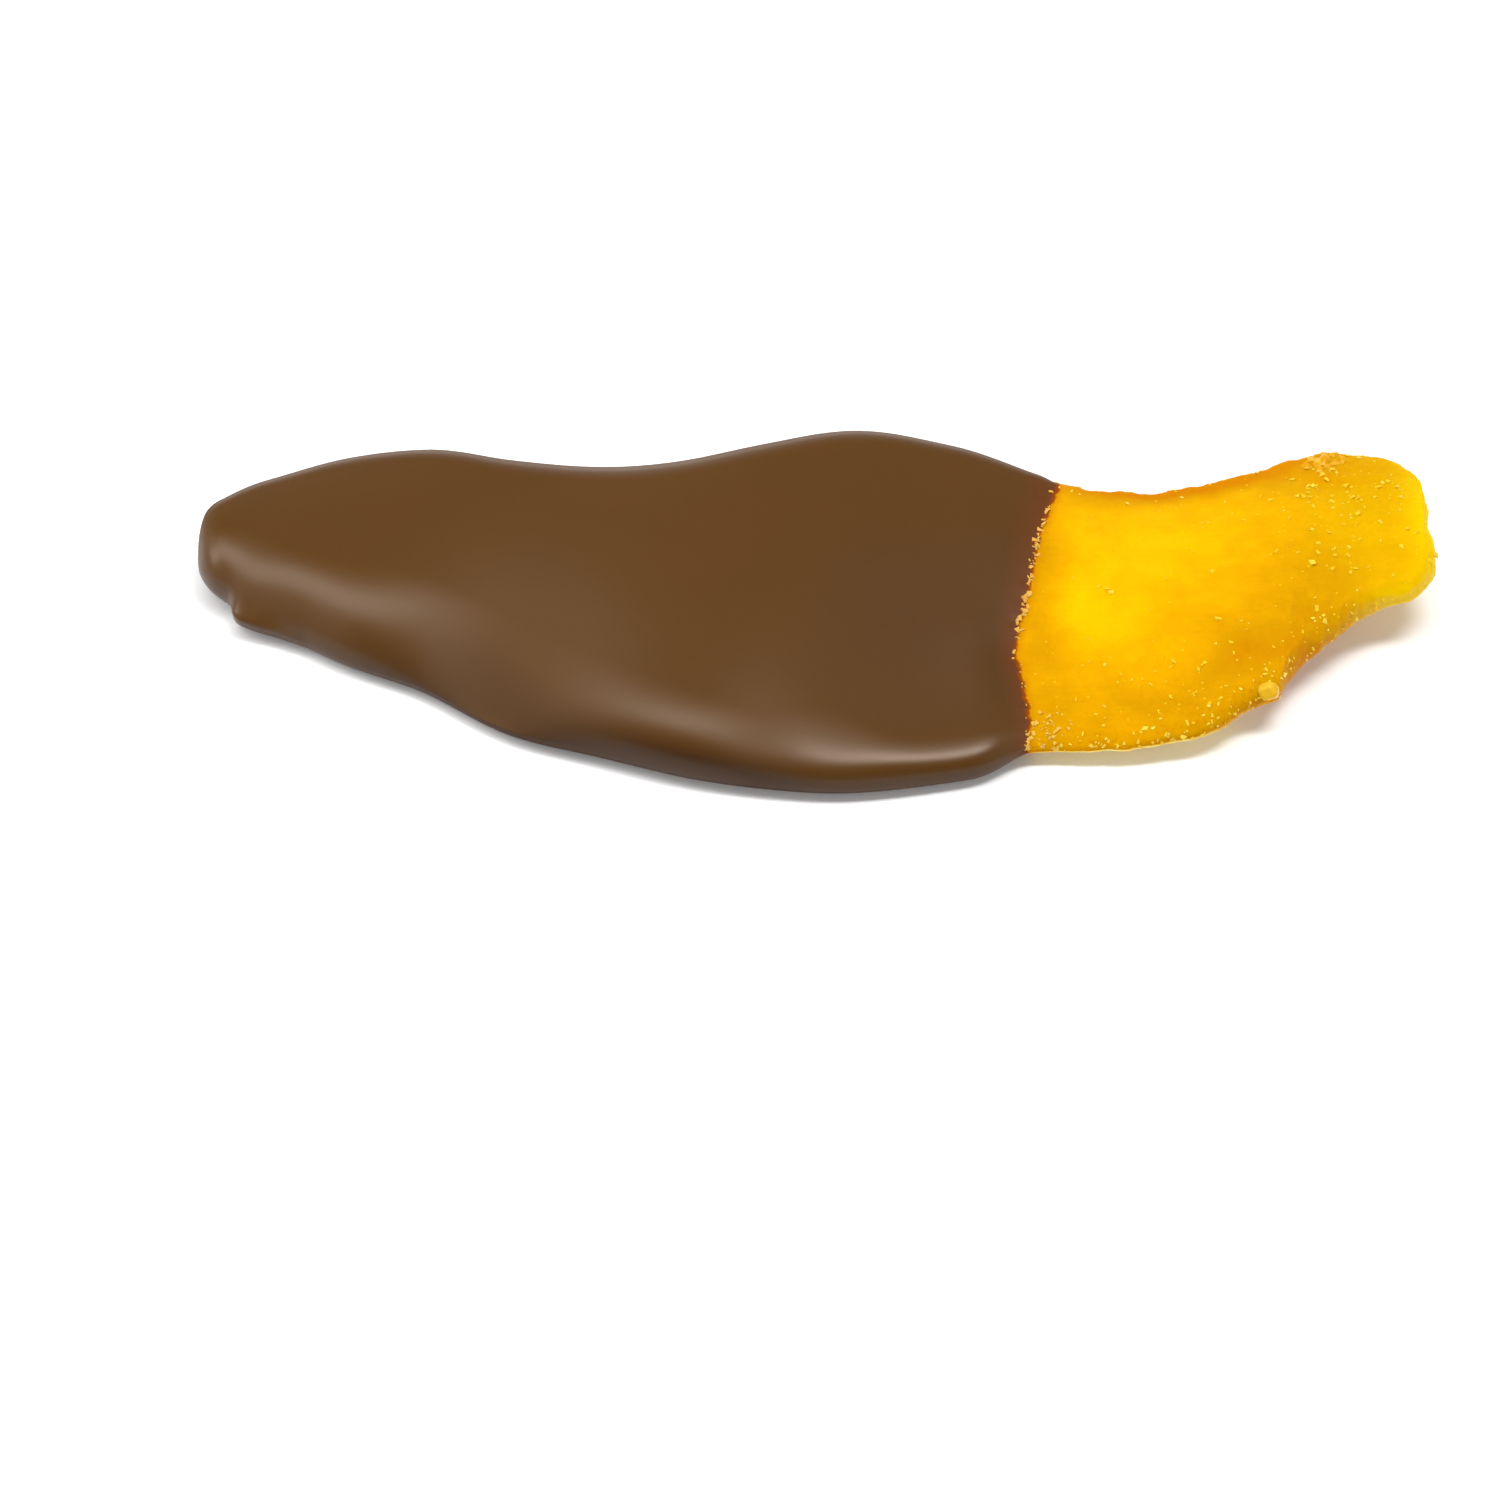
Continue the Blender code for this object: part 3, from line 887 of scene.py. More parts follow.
@dataclass(frozen=True)
class ChocolateCoat:
    """Chocolate round the left two thirds: a cup with a thin ragged lip at the dip line."""

    form: SliceForm
    thickness: float = 1.1
    lip_taper: float = 7.5
    lip_slope: float = 1.7
    pocket_share: float = 0.3
    sunk_lip: float = 0.06
    sunk_slope: int = 6
    ragged: float = 0.26
    ragged_pitch: float = 1.5
    fine_ragged: float = 0.09
    fine_ragged_pitch: float = 0.5
    ragged_reach: float = 2.0
    ragged_radius: float = 16.0
    lip_points: int = 220
    sway: float = 0.07
    sway_pitch: float = 9.0
    columns: int = 260
    rows: int = 210
    pocket_rows: int = 30
    top_share: float = 0.66
    crowding: float = 0.72
    dull_areas: tuple[Patch, ...] = (
        Patch(-25.5, -9.0, 9.0, 12.0, 1.15),
        Patch(-5.0, -18.0, 4.0, 7.0, 0.7),
    )
    rear_dullness: float = 1.5
    rear_turn: float = 2.0
    rear_start: float = 0.7
    rear_level: float = 0.96
    rear_fade: float = 0.2
    # Areas whose steep sides get painted shade
    painted_shade_areas: tuple[Patch, ...] = (
        Patch(-10.0, -17.0, 9.0, 12.0, 0.9),
        Patch(-29.0, -10.0, 10.0, 12.0, 0.8),
    )
    # A darker tone over the right part of the top, carried with the painted shade
    deep_top: Patch = Patch(10.0, -4.0, 11.0, 13.0, 0.3)
    # Steepness where the painted shade starts and is full, and painted shade on the foot that faces the
    # table
    flank_starts: float = 0.86
    flank_full: float = 0.5
    foot_starts: float = 0.45
    foot_shade: float = 0.65

    def lip_shift(self, stations: np.ndarray, angles: np.ndarray) -> np.ndarray:
        """How far each point of the coat moves along the slice, because its lip bows and is ragged.

        Args:
            stations: One station a row.
            angles: One angle a column.

        Returns:
            Shifts in millimetres, rows by columns.
        """
        behind = (self.form.lip_station - stations)[:, None]
        across = (1 + np.cos(angles))[None, :] / 2
        bow = -ease(1 - behind / self.form.lip_bow_reach) * self.form.lip_bow(across)
        circle = np.column_stack((np.cos(angles), np.sin(angles), np.zeros(len(angles))))
        circle = circle * self.ragged_radius
        coarse = self.ragged * smooth_noise(circle, self.ragged_pitch, self.form.seed)
        fine = self.fine_ragged * smooth_noise(circle, self.fine_ragged_pitch, self.form.seed)
        return bow + ease(1 - behind / self.ragged_reach) * (coarse + fine)[None, :]

    def lip_line(self) -> np.ndarray:
        """Points of the dip line over the top face, from the near edge to the far edge.

        Returns:
            Places in millimetres, one a row.
        """
        station = np.array([self.form.lip_station])
        angles = np.linspace(math.pi, 0.0, self.lip_points)
        return self.form.skin(station, angles, np.zeros(1), along=self.lip_shift(station, angles))[0]

    def layer(self, stations: np.ndarray, share: float) -> np.ndarray:
        """Height over the mango of the coat's outer skin, or a share of it, down to the lip."""
        ahead = 1 - np.clip((self.form.lip_station - stations) / self.lip_taper, 0.0, 1.0)
        return self.thickness * share * (1 - ahead**self.lip_slope) - self.sunk_lip * ahead**self.sunk_slope

    def build(self, finish: bpy.types.Material) -> bpy.types.Object:
        """Builds the coat.

        Args:
            finish: The chocolate.

        Returns:
            The piece, riding in place of its solid.
        """
        form = self.form
        angles = form.angles(self.columns, self.top_share)
        out = form.lip_station * crowded(np.linspace(0.0, 1.0, self.rows + 1), self.crowding)
        back = form.lip_station * crowded(np.linspace(1.0, 0.0, self.pocket_rows + 1), self.crowding)[1:]
        outer = form.skin(out, angles, self.layer(out, 1.0), self.lip_shift(out, angles), drips=True)
        sway = self.sway * smooth_noise(outer, self.sway_pitch, form.seed)
        outer[..., 2] += sway * np.maximum(np.sin(angles), 0.0)
        inner = self.layer(back, self.pocket_share)
        pocket = form.skin(back, angles, inner, self.lip_shift(back, angles))
        places = np.concatenate((outer, pocket))
        behind = form.lip_station - np.concatenate((out, back))
        from_lip = np.repeat(-behind[:, None], len(angles), axis=1)
        layers = {
            "from_lip": from_lip,
            "dullness": sum(area.at(places) for area in self.dull_areas),
            "painted_shade_and_tone": sum(area.at(places) for area in self.painted_shade_areas),
        }
        bm = wrapped_grid((places + np.array(form.frame_shift)) * MM, layers)
        painted_shade_and_tone, dullness = (bm.verts.layers.float[name] for name in ("painted_shade_and_tone", "dullness"))
        for vert in bm.verts:
            rear = clipped(self.rear_turn * vert.normal.y + self.rear_start)
            rear *= clipped((self.rear_level - vert.normal.z) / self.rear_fade)
            vert[dullness] += self.rear_dullness * rear
            # Steep sides and the foot get painted shade, and the top patch adds a darker tone
            steepness = (self.flank_starts - vert.normal.z) / (self.flank_starts - self.flank_full)
            foot = self.foot_shade * (self.foot_starts - vert.normal.z) / self.foot_starts
            side_shade = vert[painted_shade_and_tone] * clipped(steepness) + clipped(foot, self.foot_shade)
            top = self.deep_top.at(np.array(vert.co) / MM)
            vert[painted_shade_and_tone] = min(side_shade + top, 1.0)
        piece = dress(bm, "chocolate_coat_dressed", finish)
        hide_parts("chocolate_coat")
        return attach(piece, "root")


@dataclass(frozen=True)
class MangoSlice:
    """The dried slice, dense on its bare end, with values that its material reads."""

    form: SliceForm
    coat: ChocolateCoat
    columns: int = 320
    covered_rows: int = 40
    bare_rows: int = 215
    dense_overlap: float = 4.0
    outline_points: int = 260
    top_share: float = 0.7
    wrinkle: float = 0.09
    wrinkle_pitch: float = 1.7
    pucker: float = 0.05
    pucker_pitch: float = 0.55
    plain_creasing: float = 0.35
    grainy_creasing: float = 1.6
    # Steep sides get a deeper tone, partly the flesh's own and partly painted shade
    side_starts: float = 0.7
    side_depth: float = 0.3
    bright_areas: tuple[Patch, ...] = (
        Patch(24.0, -1.0, 5.5, 4.5, 0.3),
        Patch(31.0, 6.5, 8.0, 5.0, 0.14),
    )
    deep_areas: tuple[Patch, ...] = (
        Patch(46.0, 2.0, 7.0, 5.0, 0.3),
        Patch(28.0, -13.0, 12.0, 4.0, 0.2),
        Patch(38.0, -7.0, 5.0, 4.0, 0.4),
        Patch(19.5, 3.0, 2.6, 14.0, 0.4),
        Patch(47.0, 15.0, 7.0, 5.0, 0.36),
    )
    ripe_bands: tuple[EdgeBand, ...] = (
        EdgeBand(Patch(45.0, -4.5, 6.0, 6.0, 0.12), 2.4),
        EdgeBand(Patch(38.0, 15.5, 9.0, 4.0, 0.9), 2.6),
        EdgeBand(Patch(28.0, 15.5, 8.0, 5.0, 0.85), 2.8),
    )
    # Painted shade in hollows of the grain, strongest at the outline
    pitted_reach: float = 1.6
    pitted_depth: float = 0.3
    # The lower rim is painted paler, partly a frost of sugar and partly painted light, and the steep sides
    # of the lemon tip are painted lighter as painted light
    frost_starts: float = 0.1
    frost_fade: float = 0.3
    frost_depth: float = 0.85
    tip_painted_light: float = 0.6
    frosted_area: Patch = Patch(26.0, -16.0, 9.0, 8.0, 1.0)
    lemon_area: Patch = Patch(50.0, 8.0, 6.5, 10.0, 0.38)
    lemon_bands: tuple[EdgeBand, ...] = (
        EdgeBand(Patch(56.0, 8.0, 4.0, 9.5, 1.0), 2.3),
        EdgeBand(Patch(51.5, -0.5, 3.0, 2.5, 0.6), 1.7),
    )
    plain_graininess: float = 0.06
    grainy_areas: tuple[Patch, ...] = (
        Patch(50.0, 12.0, 7.5, 9.0, 0.34),
        Patch(43.0, -4.0, 4.0, 4.5, 0.3),
        Patch(32.0, -13.0, 8.0, 3.0, 0.18),
        Patch(21.0, -14.5, 3.0, 2.5, 0.2),
    )

    def plain_distance(self, places: np.ndarray) -> np.ndarray:
        """Distance in plan from each place to the outline of the slice.

        Args:
            places: Rows by columns by x y z.

        Returns:
            Distances in millimetres, rows by columns.
        """
        cut = self.form.section(np.linspace(0.0, self.form.length, self.outline_points))
        outline = np.concatenate((cut.near, cut.far))
        return np.array(
            [np.linalg.norm(row[:, None, :2] - outline[None], axis=-1).min(axis=1) for row in places]
        )

    def build(self, finish: bpy.types.Material) -> bpy.types.Object:
        """Builds the slice.

        Args:
            finish: The dried flesh.

        Returns:
            The piece, riding in place of its solid.
        """
        form = self.form
        angles = form.angles(self.columns, self.top_share)
        dense_from = form.lip_station - self.dense_overlap
        covered = np.sin(np.linspace(0.0, math.pi / 2, self.covered_rows, endpoint=False))
        bare = np.sin(np.linspace(0.0, math.pi / 2, self.bare_rows + 1))
        bare = dense_from + (form.length - dense_from) * bare
        stations = np.concatenate((dense_from * covered, bare))
        places = form.skin(stations, angles, np.zeros(len(stations)))
        lip = self.coat.lip_line()
        from_lip = places[..., 0] - np.interp(places[..., 1], lip[:, 1], lip[:, 0])
        graininess = sum(area.at(places) for area in self.grainy_areas) + self.plain_graininess
        from_edge = self.plain_distance(places)
        depth = sum(area.at(places) for area in self.deep_areas)
        depth = depth - sum(area.at(places) for area in self.bright_areas)
        depth = depth + sum(band.at(places, from_edge) for band in self.ripe_bands)
        lemon = sum(band.at(places, from_edge) for band in self.lemon_bands)
        layers = {
            "from_lip": from_lip,
            "from_edge": from_edge,
            "depth": depth,
            "lemon": np.clip(lemon + self.lemon_area.at(places), 0.0, 1.0),
            "graininess": graininess,
            "pitted_shade": self.pitted_depth * np.exp(-((from_edge / self.pitted_reach) ** 2)),
            "frost_and_painted_light": self.frosted_area.at(places),
            "bare": form.bareness(places[..., 0]),
        }
        bm = wrapped_grid((places + np.array(form.frame_shift)) * MM, layers)
        self.crease(bm)
        self.paint_side_shade_and_light(bm)
        piece = dress(bm, "mango_slice_dressed", finish)
        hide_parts("mango_slice")
        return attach(piece, "root")

    def paint_side_shade_and_light(self, bm: bmesh.types.BMesh) -> None:
        """Gives the steep sides of the slice a deeper tone, partly the flesh's own and partly painted shade,
        makes their lower rim paler, partly a frost of sugar and partly painted light, and paints the steep
        sides of the lemon tip lighter as painted light.

        Args:
            bm: The slice, whose points hold their depth of tone.
        """
        depth, frost_and_painted_light, lemon = (bm.verts.layers.float[name] for name in ("depth", "frost_and_painted_light", "lemon"))
        for vert in bm.verts:
            # Deeper tone and painted shade on steep sides, a paler rim below that is partly frost and partly
            # painted light, and painted light on the lemon tip's steep sides
            steepness = (self.side_starts - vert.normal.z) / self.side_starts
            vert[depth] += self.side_depth * clipped(steepness)
            lower = vert[frost_and_painted_light] * self.frost_depth * (self.frost_starts - vert.normal.z) / self.frost_fade
            tip = self.tip_painted_light * vert[lemon] * (self.side_starts - vert.normal.z) / self.side_starts
            vert[frost_and_painted_light] = clipped(lower, self.frost_depth) + clipped(tip, 1 - self.frost_depth)

    def crease(self, bm: bmesh.types.BMesh) -> None:
        """Puckers the bare flesh, most where it is grainy.

        Args:
            bm: The slice in metres, whose points move along their normals.
        """
        bare = bm.verts.layers.float["bare"]
        grainy = bm.verts.layers.float["graininess"]
        moves = []
        for vert in bm.verts:
            if vert[bare] <= 0.0:
                continue
            place = vert.co / MM
            broad = noise.noise(place / self.wrinkle_pitch + self.form.seed)
            tight = noise.noise(place / self.pucker_pitch + self.form.seed)
            amount = self.wrinkle * broad + self.pucker * tight
            amount *= self.plain_creasing + self.grainy_creasing * vert[grainy]
            moves.append((vert, vert.normal * amount * vert[bare] * MM))
        for vert, move in moves:
            vert.co += move
        bm.normal_update()


class Spread(Enum):
    """Where a drift of crystals gathers."""

    FACE = "anywhere in its area"
    EDGE = "along the outline"
    DIP_LINE = "along the edge of the chocolate"


@dataclass(frozen=True)
class Drift:
    """Crystals of one size range that lie together."""

    area: Patch
    spread: Spread
    count: int
    smallest: float
    largest: float
    paleness: float = 0.35
    toast: float = 0.0


@dataclass(frozen=True)
class Ground:
    """Triangles of a piece that crystals can lie on, in metres, with their values."""

    corners: np.ndarray
    normals: np.ndarray
    areas: np.ndarray
    from_edge: np.ndarray
    from_lip: np.ndarray

    @classmethod
    def of(cls, piece: bpy.types.Object) -> Ground:
        """Reads the ground from a piece.

        Args:
            piece: The slice or its coat.

        Returns:
            Its triangles.
        """
        mesh = piece.data
        mesh.calc_loop_triangles()
        places = np.empty(len(mesh.vertices) * 3, np.float32)
        mesh.vertices.foreach_get("co", places)
        corners = np.empty(len(mesh.loop_triangles) * 3, np.int32)
        mesh.loop_triangles.foreach_get("vertices", corners)
        corners = corners.reshape(-1, 3)
        points = places.reshape(-1, 3)[corners].astype(float)
        cross = np.cross(points[:, 1] - points[:, 0], points[:, 2] - points[:, 0])
        length = np.linalg.norm(cross, axis=1)
        values = []
        for name in ("from_edge", "from_lip"):
            kept = np.full(len(mesh.vertices), FAR_OFF, np.float32)
            if name in mesh.attributes:
                mesh.attributes[name].data.foreach_get("value", kept)
            values.append(kept[corners].mean(axis=1))
        return cls(points, cross / np.maximum(length, NO_AREA)[:, None], length / 2, *values)

    def pick(self, weight: np.ndarray, count: int, rng: np.random.Generator) -> tuple[np.ndarray, ...]:
        """Picks places at random, more often where the weight is high.

        Args:
            weight: Chance of each triangle for its area.
            count: Number of places.
            rng: Source of the random numbers.

        Returns:
            Places in metres and the outward directions there.
        """
        chance = weight * self.areas
        chosen = rng.choice(len(chance), count, p=chance / chance.sum())
        first, second = rng.random((2, count, 1))
        fold = first + second > 1
        first, second = np.where(fold, 1 - first, first), np.where(fold, 1 - second, second)
        a, b, c = np.moveaxis(self.corners[chosen], 1, 0)
        return a + (b - a) * first + (c - a) * second, self.normals[chosen]


@dataclass(frozen=True)
class SugarCrystals:
    """Sugar crystals scattered over the bare end and stuck along the dip line."""

    form: SliceForm
    drifts: tuple[Drift, ...] = (
        Drift(Patch(48.0, 11.0, 7.0, 8.0, 1.0), Spread.FACE, 90, 0.3, 0.75, 0.15),
        Drift(Patch(47.0, 14.0, 7.5, 5.0, 1.0), Spread.FACE, 26, 0.25, 0.65, 0.5),
        Drift(Patch(47.0, 18.0, 5.0, 2.0, 1.0), Spread.EDGE, 40, 0.25, 0.6, 0.8, 0.3),
        Drift(Patch(43.0, -3.5, 4.0, 4.5, 1.0), Spread.EDGE, 36, 0.22, 0.55, 0.5),
        Drift(Patch(38.0, -10.0, 1.6, 2.2, 1.0), Spread.EDGE, 22, 0.22, 0.55, 0.7),
        Drift(Patch(32.5, -14.0, 4.0, 2.0, 1.0), Spread.EDGE, 24, 0.22, 0.6, 0.6),
        Drift(Patch(27.0, -17.0, 7.0, 1.2, 1.0), Spread.EDGE, 40, 0.2, 0.5, 0.55, 0.2),
        Drift(Patch(31.0, -10.0, 9.0, 5.0, 1.0), Spread.FACE, 40, 0.25, 0.7, 0.0),
        Drift(Patch(29.0, -12.0, 9.0, 4.0, 1.0), Spread.FACE, 8, 0.25, 0.55, 0.4),
        Drift(Patch(20.2, -15.0, 1.2, 1.5, 1.0), Spread.FACE, 40, 0.22, 0.6, 0.5, 0.6),
        Drift(Patch(32.0, 15.0, 10.0, 3.0, 1.0), Spread.EDGE, 100, 0.22, 0.55, 0.5),
        Drift(Patch(53.0, 8.0, 4.0, 11.0, 1.0), Spread.EDGE, 40, 0.2, 0.42, 0.3),
        Drift(Patch(30.0, 3.0, 12.0, 12.0, 1.0), Spread.FACE, 30, 0.2, 0.6, 0.0),
        Drift(Patch(20.0, 3.0, 9.0, 8.0, 1.0), Spread.DIP_LINE, 60, 0.22, 0.8, 0.6, 0.8),
        Drift(Patch(19.5, -17.0, 3.0, 1.6, 1.0), Spread.DIP_LINE, 16, 0.22, 0.6, 0.6, 0.7),
        Drift(Patch(20.0, 0.0, 9.0, 30.0, 1.0), Spread.DIP_LINE, 70, 0.15, 0.5, 0.5, 0.6),
    )
    edge_reach: float = 0.9
    lip_reach: float = 0.25
    sunk: float = 0.5
    unevenness: float = 0.5
    straying: float = 1.5
    breadth: Span = (0.35, 0.9)
    thickness: Span = (0.22, 0.4)
    lean: float = 0.25
    chip_side: float = 0.8
    small_share: float = 2.2
    tone_spread: float = 0.2
    steep_hold: float = 0.55
    least_hold: float = 0.02
    clear_of_lip: float = 0.1
    seed: int = 7

    def weight(self, ground: Ground, drift: Drift) -> np.ndarray:
        """Chance of each triangle of the ground for one drift.

        Args:
            ground: Where the crystals may lie.
            drift: The drift.

        Returns:
            One value a triangle.
        """
        middle = ground.corners.mean(axis=1) / MM - np.array(self.form.frame_shift)
        hold = np.clip(ground.normals[:, 2] + self.steep_hold, self.least_hold, 1.0)
        weight = drift.area.at(middle) * hold
        if drift.spread is Spread.EDGE:
            weight = weight * np.exp(-ground.from_edge / self.edge_reach)
        if drift.spread is Spread.DIP_LINE:
            return weight * np.exp(-((ground.from_lip / self.lip_reach) ** 2))
        return weight * (ground.from_lip > self.clear_of_lip)

    def build(
        self, slice_piece: bpy.types.Object, coat: bpy.types.Object, finish: bpy.types.Material
    ) -> bpy.types.Object:
        """Builds all crystals as one piece.

        Args:
            slice_piece: The dressed mango slice.
            coat: The dressed chocolate coat.
            finish: The sugar.

        Returns:
            The piece.
        """
        rng = np.random.default_rng(self.seed)
        flesh, chocolate = Ground.of(slice_piece), Ground.of(coat)
        chips = []
        for drift in self.drifts:
            grounds = (flesh, chocolate) if drift.spread is Spread.DIP_LINE else (flesh,)
            for ground in grounds:
                count = drift.count // len(grounds)
                places, normals = ground.pick(self.weight(ground, drift), count, rng)
                spread = rng.random(count) ** self.small_share
                sizes = (drift.smallest + (drift.largest - drift.smallest) * spread) * MM
                paleness = np.clip(rng.normal(drift.paleness, self.tone_spread, count), 0.0, 1.0)
                tones = np.column_stack((paleness, np.full(count, drift.toast)))
                chips.extend(zip(places, normals, sizes, tones))
        bm = self.scattered(chips, rng)
        piece = dress(bm, "sugar_crystals", finish, smooth=False)
        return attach(piece, "root")

    def scattered(self, chips: list[tuple], rng: np.random.Generator) -> bmesh.types.BMesh:
        """One crystal, doubled until there is one for each place, and then laid flat there.

        Args:
            chips: Place, outward direction, length and tones of each, in metres.
            rng: Source of the random numbers.

        Returns:
            The mesh of all crystals.
        """
        bm = bmesh.new()
        paleness = bm.verts.layers.float.new("paleness")
        toast = bm.verts.layers.float.new("toast")
        bmesh.ops.create_cube(bm, size=self.chip_side)
        parts = (bm.verts, bm.edges, bm.faces)
        counts = [len(part) for part in parts]
        made = 1
        while made < len(chips):
            more = min(made, len(chips) - made)
            copied = []
            for part, count in zip(parts, counts):
                part.ensure_lookup_table()
                copied.extend(part[: more * count])
            bmesh.ops.duplicate(bm, geom=copied)
            made += more
        bm.verts.ensure_lookup_table()
        for i, (place, normal, size, tones) in enumerate(chips):
            up = Vector(normal)
            run = Vector((1.0, 0.0, 0.0)).cross(up).cross(up).normalized()
            turn = Matrix.Rotation(rng.normal(0.0, self.straying), 3, up)
            lean = Matrix.Rotation(rng.normal(0.0, self.lean), 3, run.cross(up))
            basis = lean @ turn @ Matrix((run, up.cross(run), up)).transposed()
            high = rng.uniform(*self.thickness)
            stretch = Matrix.Diagonal(Vector((1.0, rng.uniform(*self.breadth), high)))
            middle = Vector(place) + up * size * high * (0.5 - self.sunk)
            for vert in bm.verts[i * counts[0] : (i + 1) * counts[0]]:
                chip = 1 + self.unevenness * rng.uniform(-1, 1)
                vert.co = middle + basis @ (stretch @ vert.co) * size * chip
                vert[paleness], vert[toast] = tones
        bm.normal_update()
        return bm


@dataclass(frozen=True)
class SyrupBead:
    """Drop of fruit syrup that dried on the near edge of the bare end."""

    form: SliceForm
    middle: tuple[float, float, float] = (39.2, -11.5, 3.85)
    reach: tuple[float, float, float] = (0.95, 0.85, 0.75)
    dent: float = 0.35
    dent_pitch: float = 1.1

    def build(self, finish: bpy.types.Material) -> bpy.types.Object:
        """Builds the bead.

        Args:
            finish: The dried syrup.

        Returns:
            The piece.
        """
        bm = bmesh.new()
        bmesh.ops.create_icosphere(bm, subdivisions=5, radius=1.0)
        for vert in bm.verts:
            dent = 1 + self.dent * noise.noise(vert.co / self.dent_pitch + self.form.seed)
            vert.co = Matrix.Diagonal(Vector(self.reach)) @ vert.co * dent
        place = Vector(self.middle) + Vector(self.form.frame_shift)
        bmesh.ops.translate(bm, verts=bm.verts, vec=place)
        bmesh.ops.scale(bm, verts=bm.verts, vec=(MM, MM, MM))
        bm.normal_update()
        piece = dress(bm, "dried_syrup_bead", finish)
        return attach(piece, "root")


@dataclass(frozen=True)
class SugarCrust:
    """Thin broken flake of sugar crust that lies on the far edge of the bare end."""

    form: SliceForm
    middle: Point = (46.6, 16.9)
    reach: Point = (2.2, 1.7)
    thickness: float = 0.16
    jag: float = 0.5
    jag_pitch: float = 0.5
    ripple: float = 0.3
    ripple_pitch: float = 0.6
    lift: float = -0.02
    flatness: float = 2.0
    overhead: float = 20.0
    rim_height: float = 6.5

    def build(self, slice_piece: bpy.types.Object, finish: bpy.types.Material) -> bpy.types.Object:
        """Builds the flake, which follows the slice under it.

        Args:
            slice_piece: The dressed mango slice.
            finish: The crust.

        Returns:
            The piece.
        """
        ground = BVHTree.FromPolygons(
            [vert.co for vert in slice_piece.data.vertices],
            [tuple(face.vertices) for face in slice_piece.data.polygons],
        )
        shift = Vector(self.form.frame_shift)
        bm = bmesh.new()
        bmesh.ops.create_icosphere(bm, subdivisions=5, radius=1.0)
        for vert in bm.verts:
            around = Vector((vert.co.x, vert.co.y, 0.0))
            if around.length > 0:
                around.normalize()
            jag = 1 + self.jag * noise.noise(around / self.jag_pitch + self.form.seed)
            x = self.middle[0] + vert.co.x * self.reach[0] * jag
            y = self.middle[1] + vert.co.y * self.reach[1] * jag
            start = (Vector((x, y, self.overhead)) + shift) * MM
            hit = ground.ray_cast(start, Vector((0.0, 0.0, -1.0)))[0]
            rim_hit = ground.find_nearest((Vector((x, y, self.rim_height)) + shift) * MM)[0]
            under = (hit or rim_hit).z / MM
            flat = max(min(vert.co.z * self.flatness, 1.0), -1.0) * self.thickness / 2
            wave = self.ripple * noise.noise(Vector((x, y, 0.0)) / self.ripple_pitch + self.form.seed)
            vert.co = Vector((x + shift.x, y + shift.y, under + self.lift + flat + wave)) * MM
        bm.normal_update()
        piece = dress(bm, "sugar_crust_flake", finish)
        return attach(piece, "root")


@dataclass(frozen=True)
class Softbox:
    """Square or oblong soft light that faces the slice, placed by its angles from the zenith."""

    name: str
    towards_camera: float
    towards_right: float
    distance: float
    width: float
    depth: float
    power: float

    def build(self) -> None:
        """Builds the light."""
        lamp = bpy.data.lights.new(self.name, "AREA")
        lamp.shape = "RECTANGLE"
        lamp.size = self.width
        lamp.size_y = self.depth
        lamp.energy = self.power
        light = bpy.data.objects.new(self.name, lamp)
        bpy.context.scene.collection.objects.link(light)
        fore = Matrix.Rotation(math.radians(self.towards_camera), 4, "X")
        aside = Matrix.Rotation(math.radians(self.towards_right), 4, "Y")
        light.matrix_world = aside @ fore @ Matrix.Translation((0.0, 0.0, self.distance))


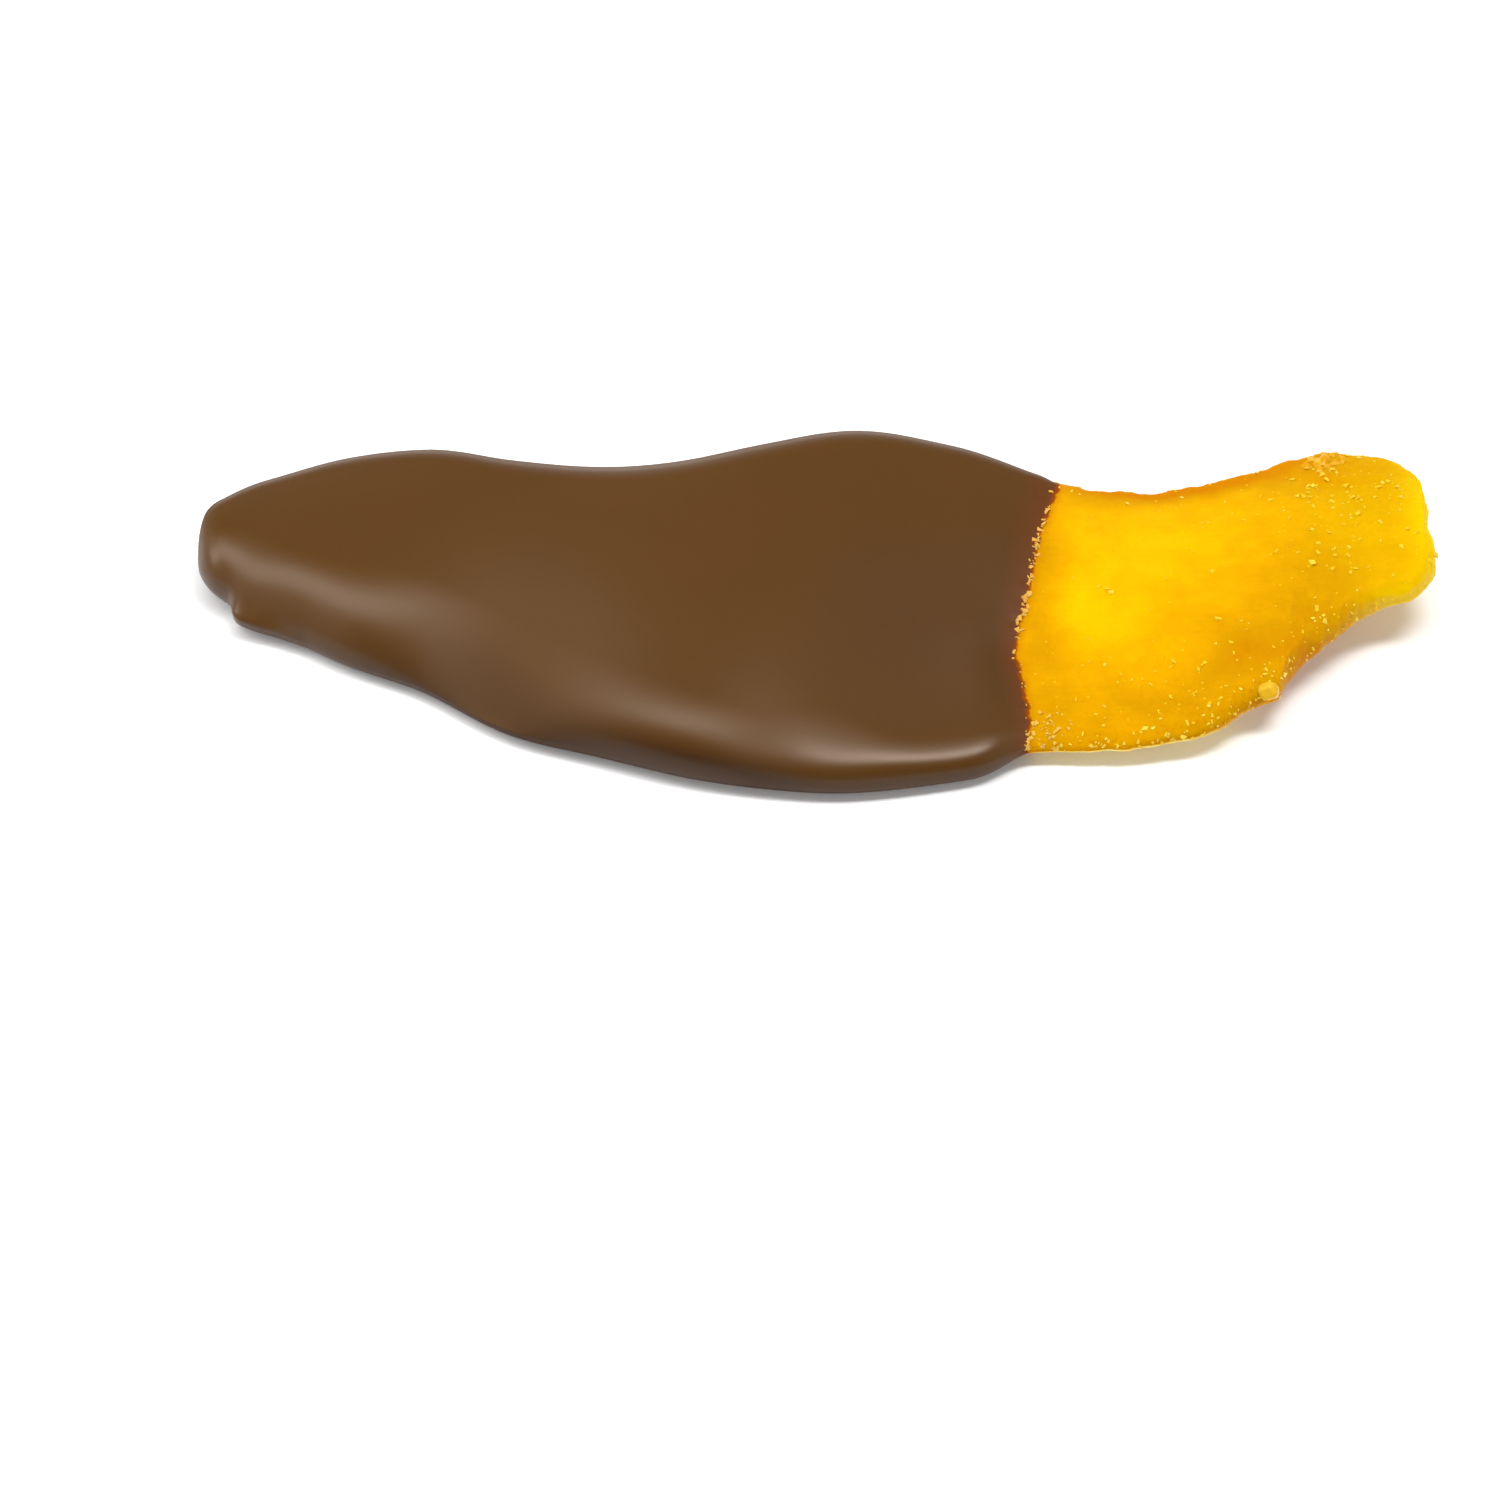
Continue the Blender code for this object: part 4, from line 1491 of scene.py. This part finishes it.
@dataclass(frozen=True)
class Studio:
    """Table, soft light and camera of a plain product photograph."""

    form: SliceForm
    table_side: float = 6.0
    table_drop: float = 0.05
    lens: float = 90.0
    sensor: float = 36.0
    pitch: float = 42.2
    aimed_height: float = 3.2
    camera_distance: float = 337.5
    aimed_pixel: Point = (816.0, 612.0)
    rear_glow: float = 0.15
    horizon_glow: float = 0.45
    glow_fades: Span = (0.2, 0.72)
    softboxes: tuple[Softbox, ...] = (
        Softbox("overhead_strip_softbox", -4.0, -22.0, 0.75, 1.6, 0.25, 6.4),
        Softbox("right_strip_softbox", -4.0, 17.5, 0.75, 0.4, 0.16, 2.2),
        Softbox("overhead_haze_softbox", -15.0, 0.0, 0.8, 1.1, 0.3, 1.1),
        Softbox("left_fill_softbox", 0.0, -64.0, 1.0, 0.8, 1.0, 1.7),
        Softbox("right_fill_softbox", 0.0, 64.0, 1.0, 0.8, 1.0, 1.1),
    )

    def build(self) -> None:
        """Builds the table, the surroundings, the lights and the camera."""
        self.lay_table()
        self.surround()
        for softbox in self.softboxes:
            softbox.build()
        self.place_camera()
        bpy.context.scene.view_settings.view_transform = "Standard"

    def lay_table(self) -> None:
        """Lays the table just under the slice."""
        bm = bmesh.new()
        lowered = Matrix.Translation((0.0, 0.0, -self.table_drop * MM))
        bmesh.ops.create_grid(bm, x_segments=4, y_segments=4, size=self.table_side / 2, matrix=lowered)
        table = dress(bm, "table", TablePaper().build())

    def surround(self) -> None:
        """Surrounds the table with a pale wall low down and a dimmer room above."""
        world = bpy.data.worlds.new("studio_room")
        bpy.context.scene.world = world
        world.use_nodes = True
        tree = world.node_tree
        direction = tree.nodes.new("ShaderNodeTexCoord")
        parts = tree.nodes.new("ShaderNodeSeparateXYZ")
        fade = tree.nodes.new("ShaderNodeMapRange")
        fade.interpolation_type = "SMOOTHSTEP"
        limits = (*self.glow_fades, self.horizon_glow, self.rear_glow)
        for name, limit in zip(("From Min", "From Max", "To Min", "To Max"), limits):
            fade.inputs[name].default_value = limit
        tree.links.new(direction.outputs["Generated"], parts.inputs[0])
        tree.links.new(parts.outputs["Z"], fade.inputs["Value"])
        tree.links.new(fade.outputs[0], tree.nodes["Background"].inputs["Strength"])
        tree.nodes["Background"].inputs["Color"].default_value = linear("#ffffff")

    def place_camera(self) -> None:
        """Places the camera at the photograph's viewing angle."""
        pitch = math.radians(self.pitch)
        view = Vector((0.0, math.cos(pitch), -math.sin(pitch)))
        up = Vector((0.0, math.sin(pitch), math.cos(pitch)))
        right = Vector((1.0, 0.0, 0.0))
        pixel = self.camera_distance / (self.lens / self.sensor * PHOTO_SIDE)
        aside = (self.aimed_pixel[0] - PHOTO_SIDE / 2) * pixel
        above = (PHOTO_SIDE / 2 - self.aimed_pixel[1]) * pixel
        aimed = Vector((0.0, 0.0, self.aimed_height)) + Vector(self.form.frame_shift)
        data = bpy.data.cameras.new("photo_camera")
        data.lens = self.lens
        data.sensor_width = self.sensor
        data.clip_start = 0.01
        camera = bpy.data.objects.new("photo_camera", data)
        camera.location = (aimed - view * self.camera_distance - right * aside - up * above) * MM
        camera.rotation_euler = (math.pi / 2 - pitch, 0.0, 0.0)
        bpy.context.scene.collection.objects.link(camera)
        bpy.context.scene.camera = camera


def main() -> None:
    """Builds the dressed slice on its table."""
    logging.basicConfig(level=logging.INFO, format="%(name)s: %(message)s")
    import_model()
    form = SliceForm()
    coat = ChocolateCoat(form)
    coat_piece = coat.build(MilkChocolate().build())
    slice_piece = MangoSlice(form, coat).build(DriedMangoFlesh().build())
    SugarCrystals(form).build(slice_piece, coat_piece, SugarCrystal().build())
    SyrupBead(form).build(DriedSyrup().build())
    crust = SugarCrystal(
        "sugar_crust", juicy="#d69806", pale="#f2c258", cloud_mm=0.7, streaks=4.0, streak_start=0.5
    )
    SugarCrust(form).build(slice_piece, crust.build())
    Studio(form).build()


if __name__ == "__main__":
    main()
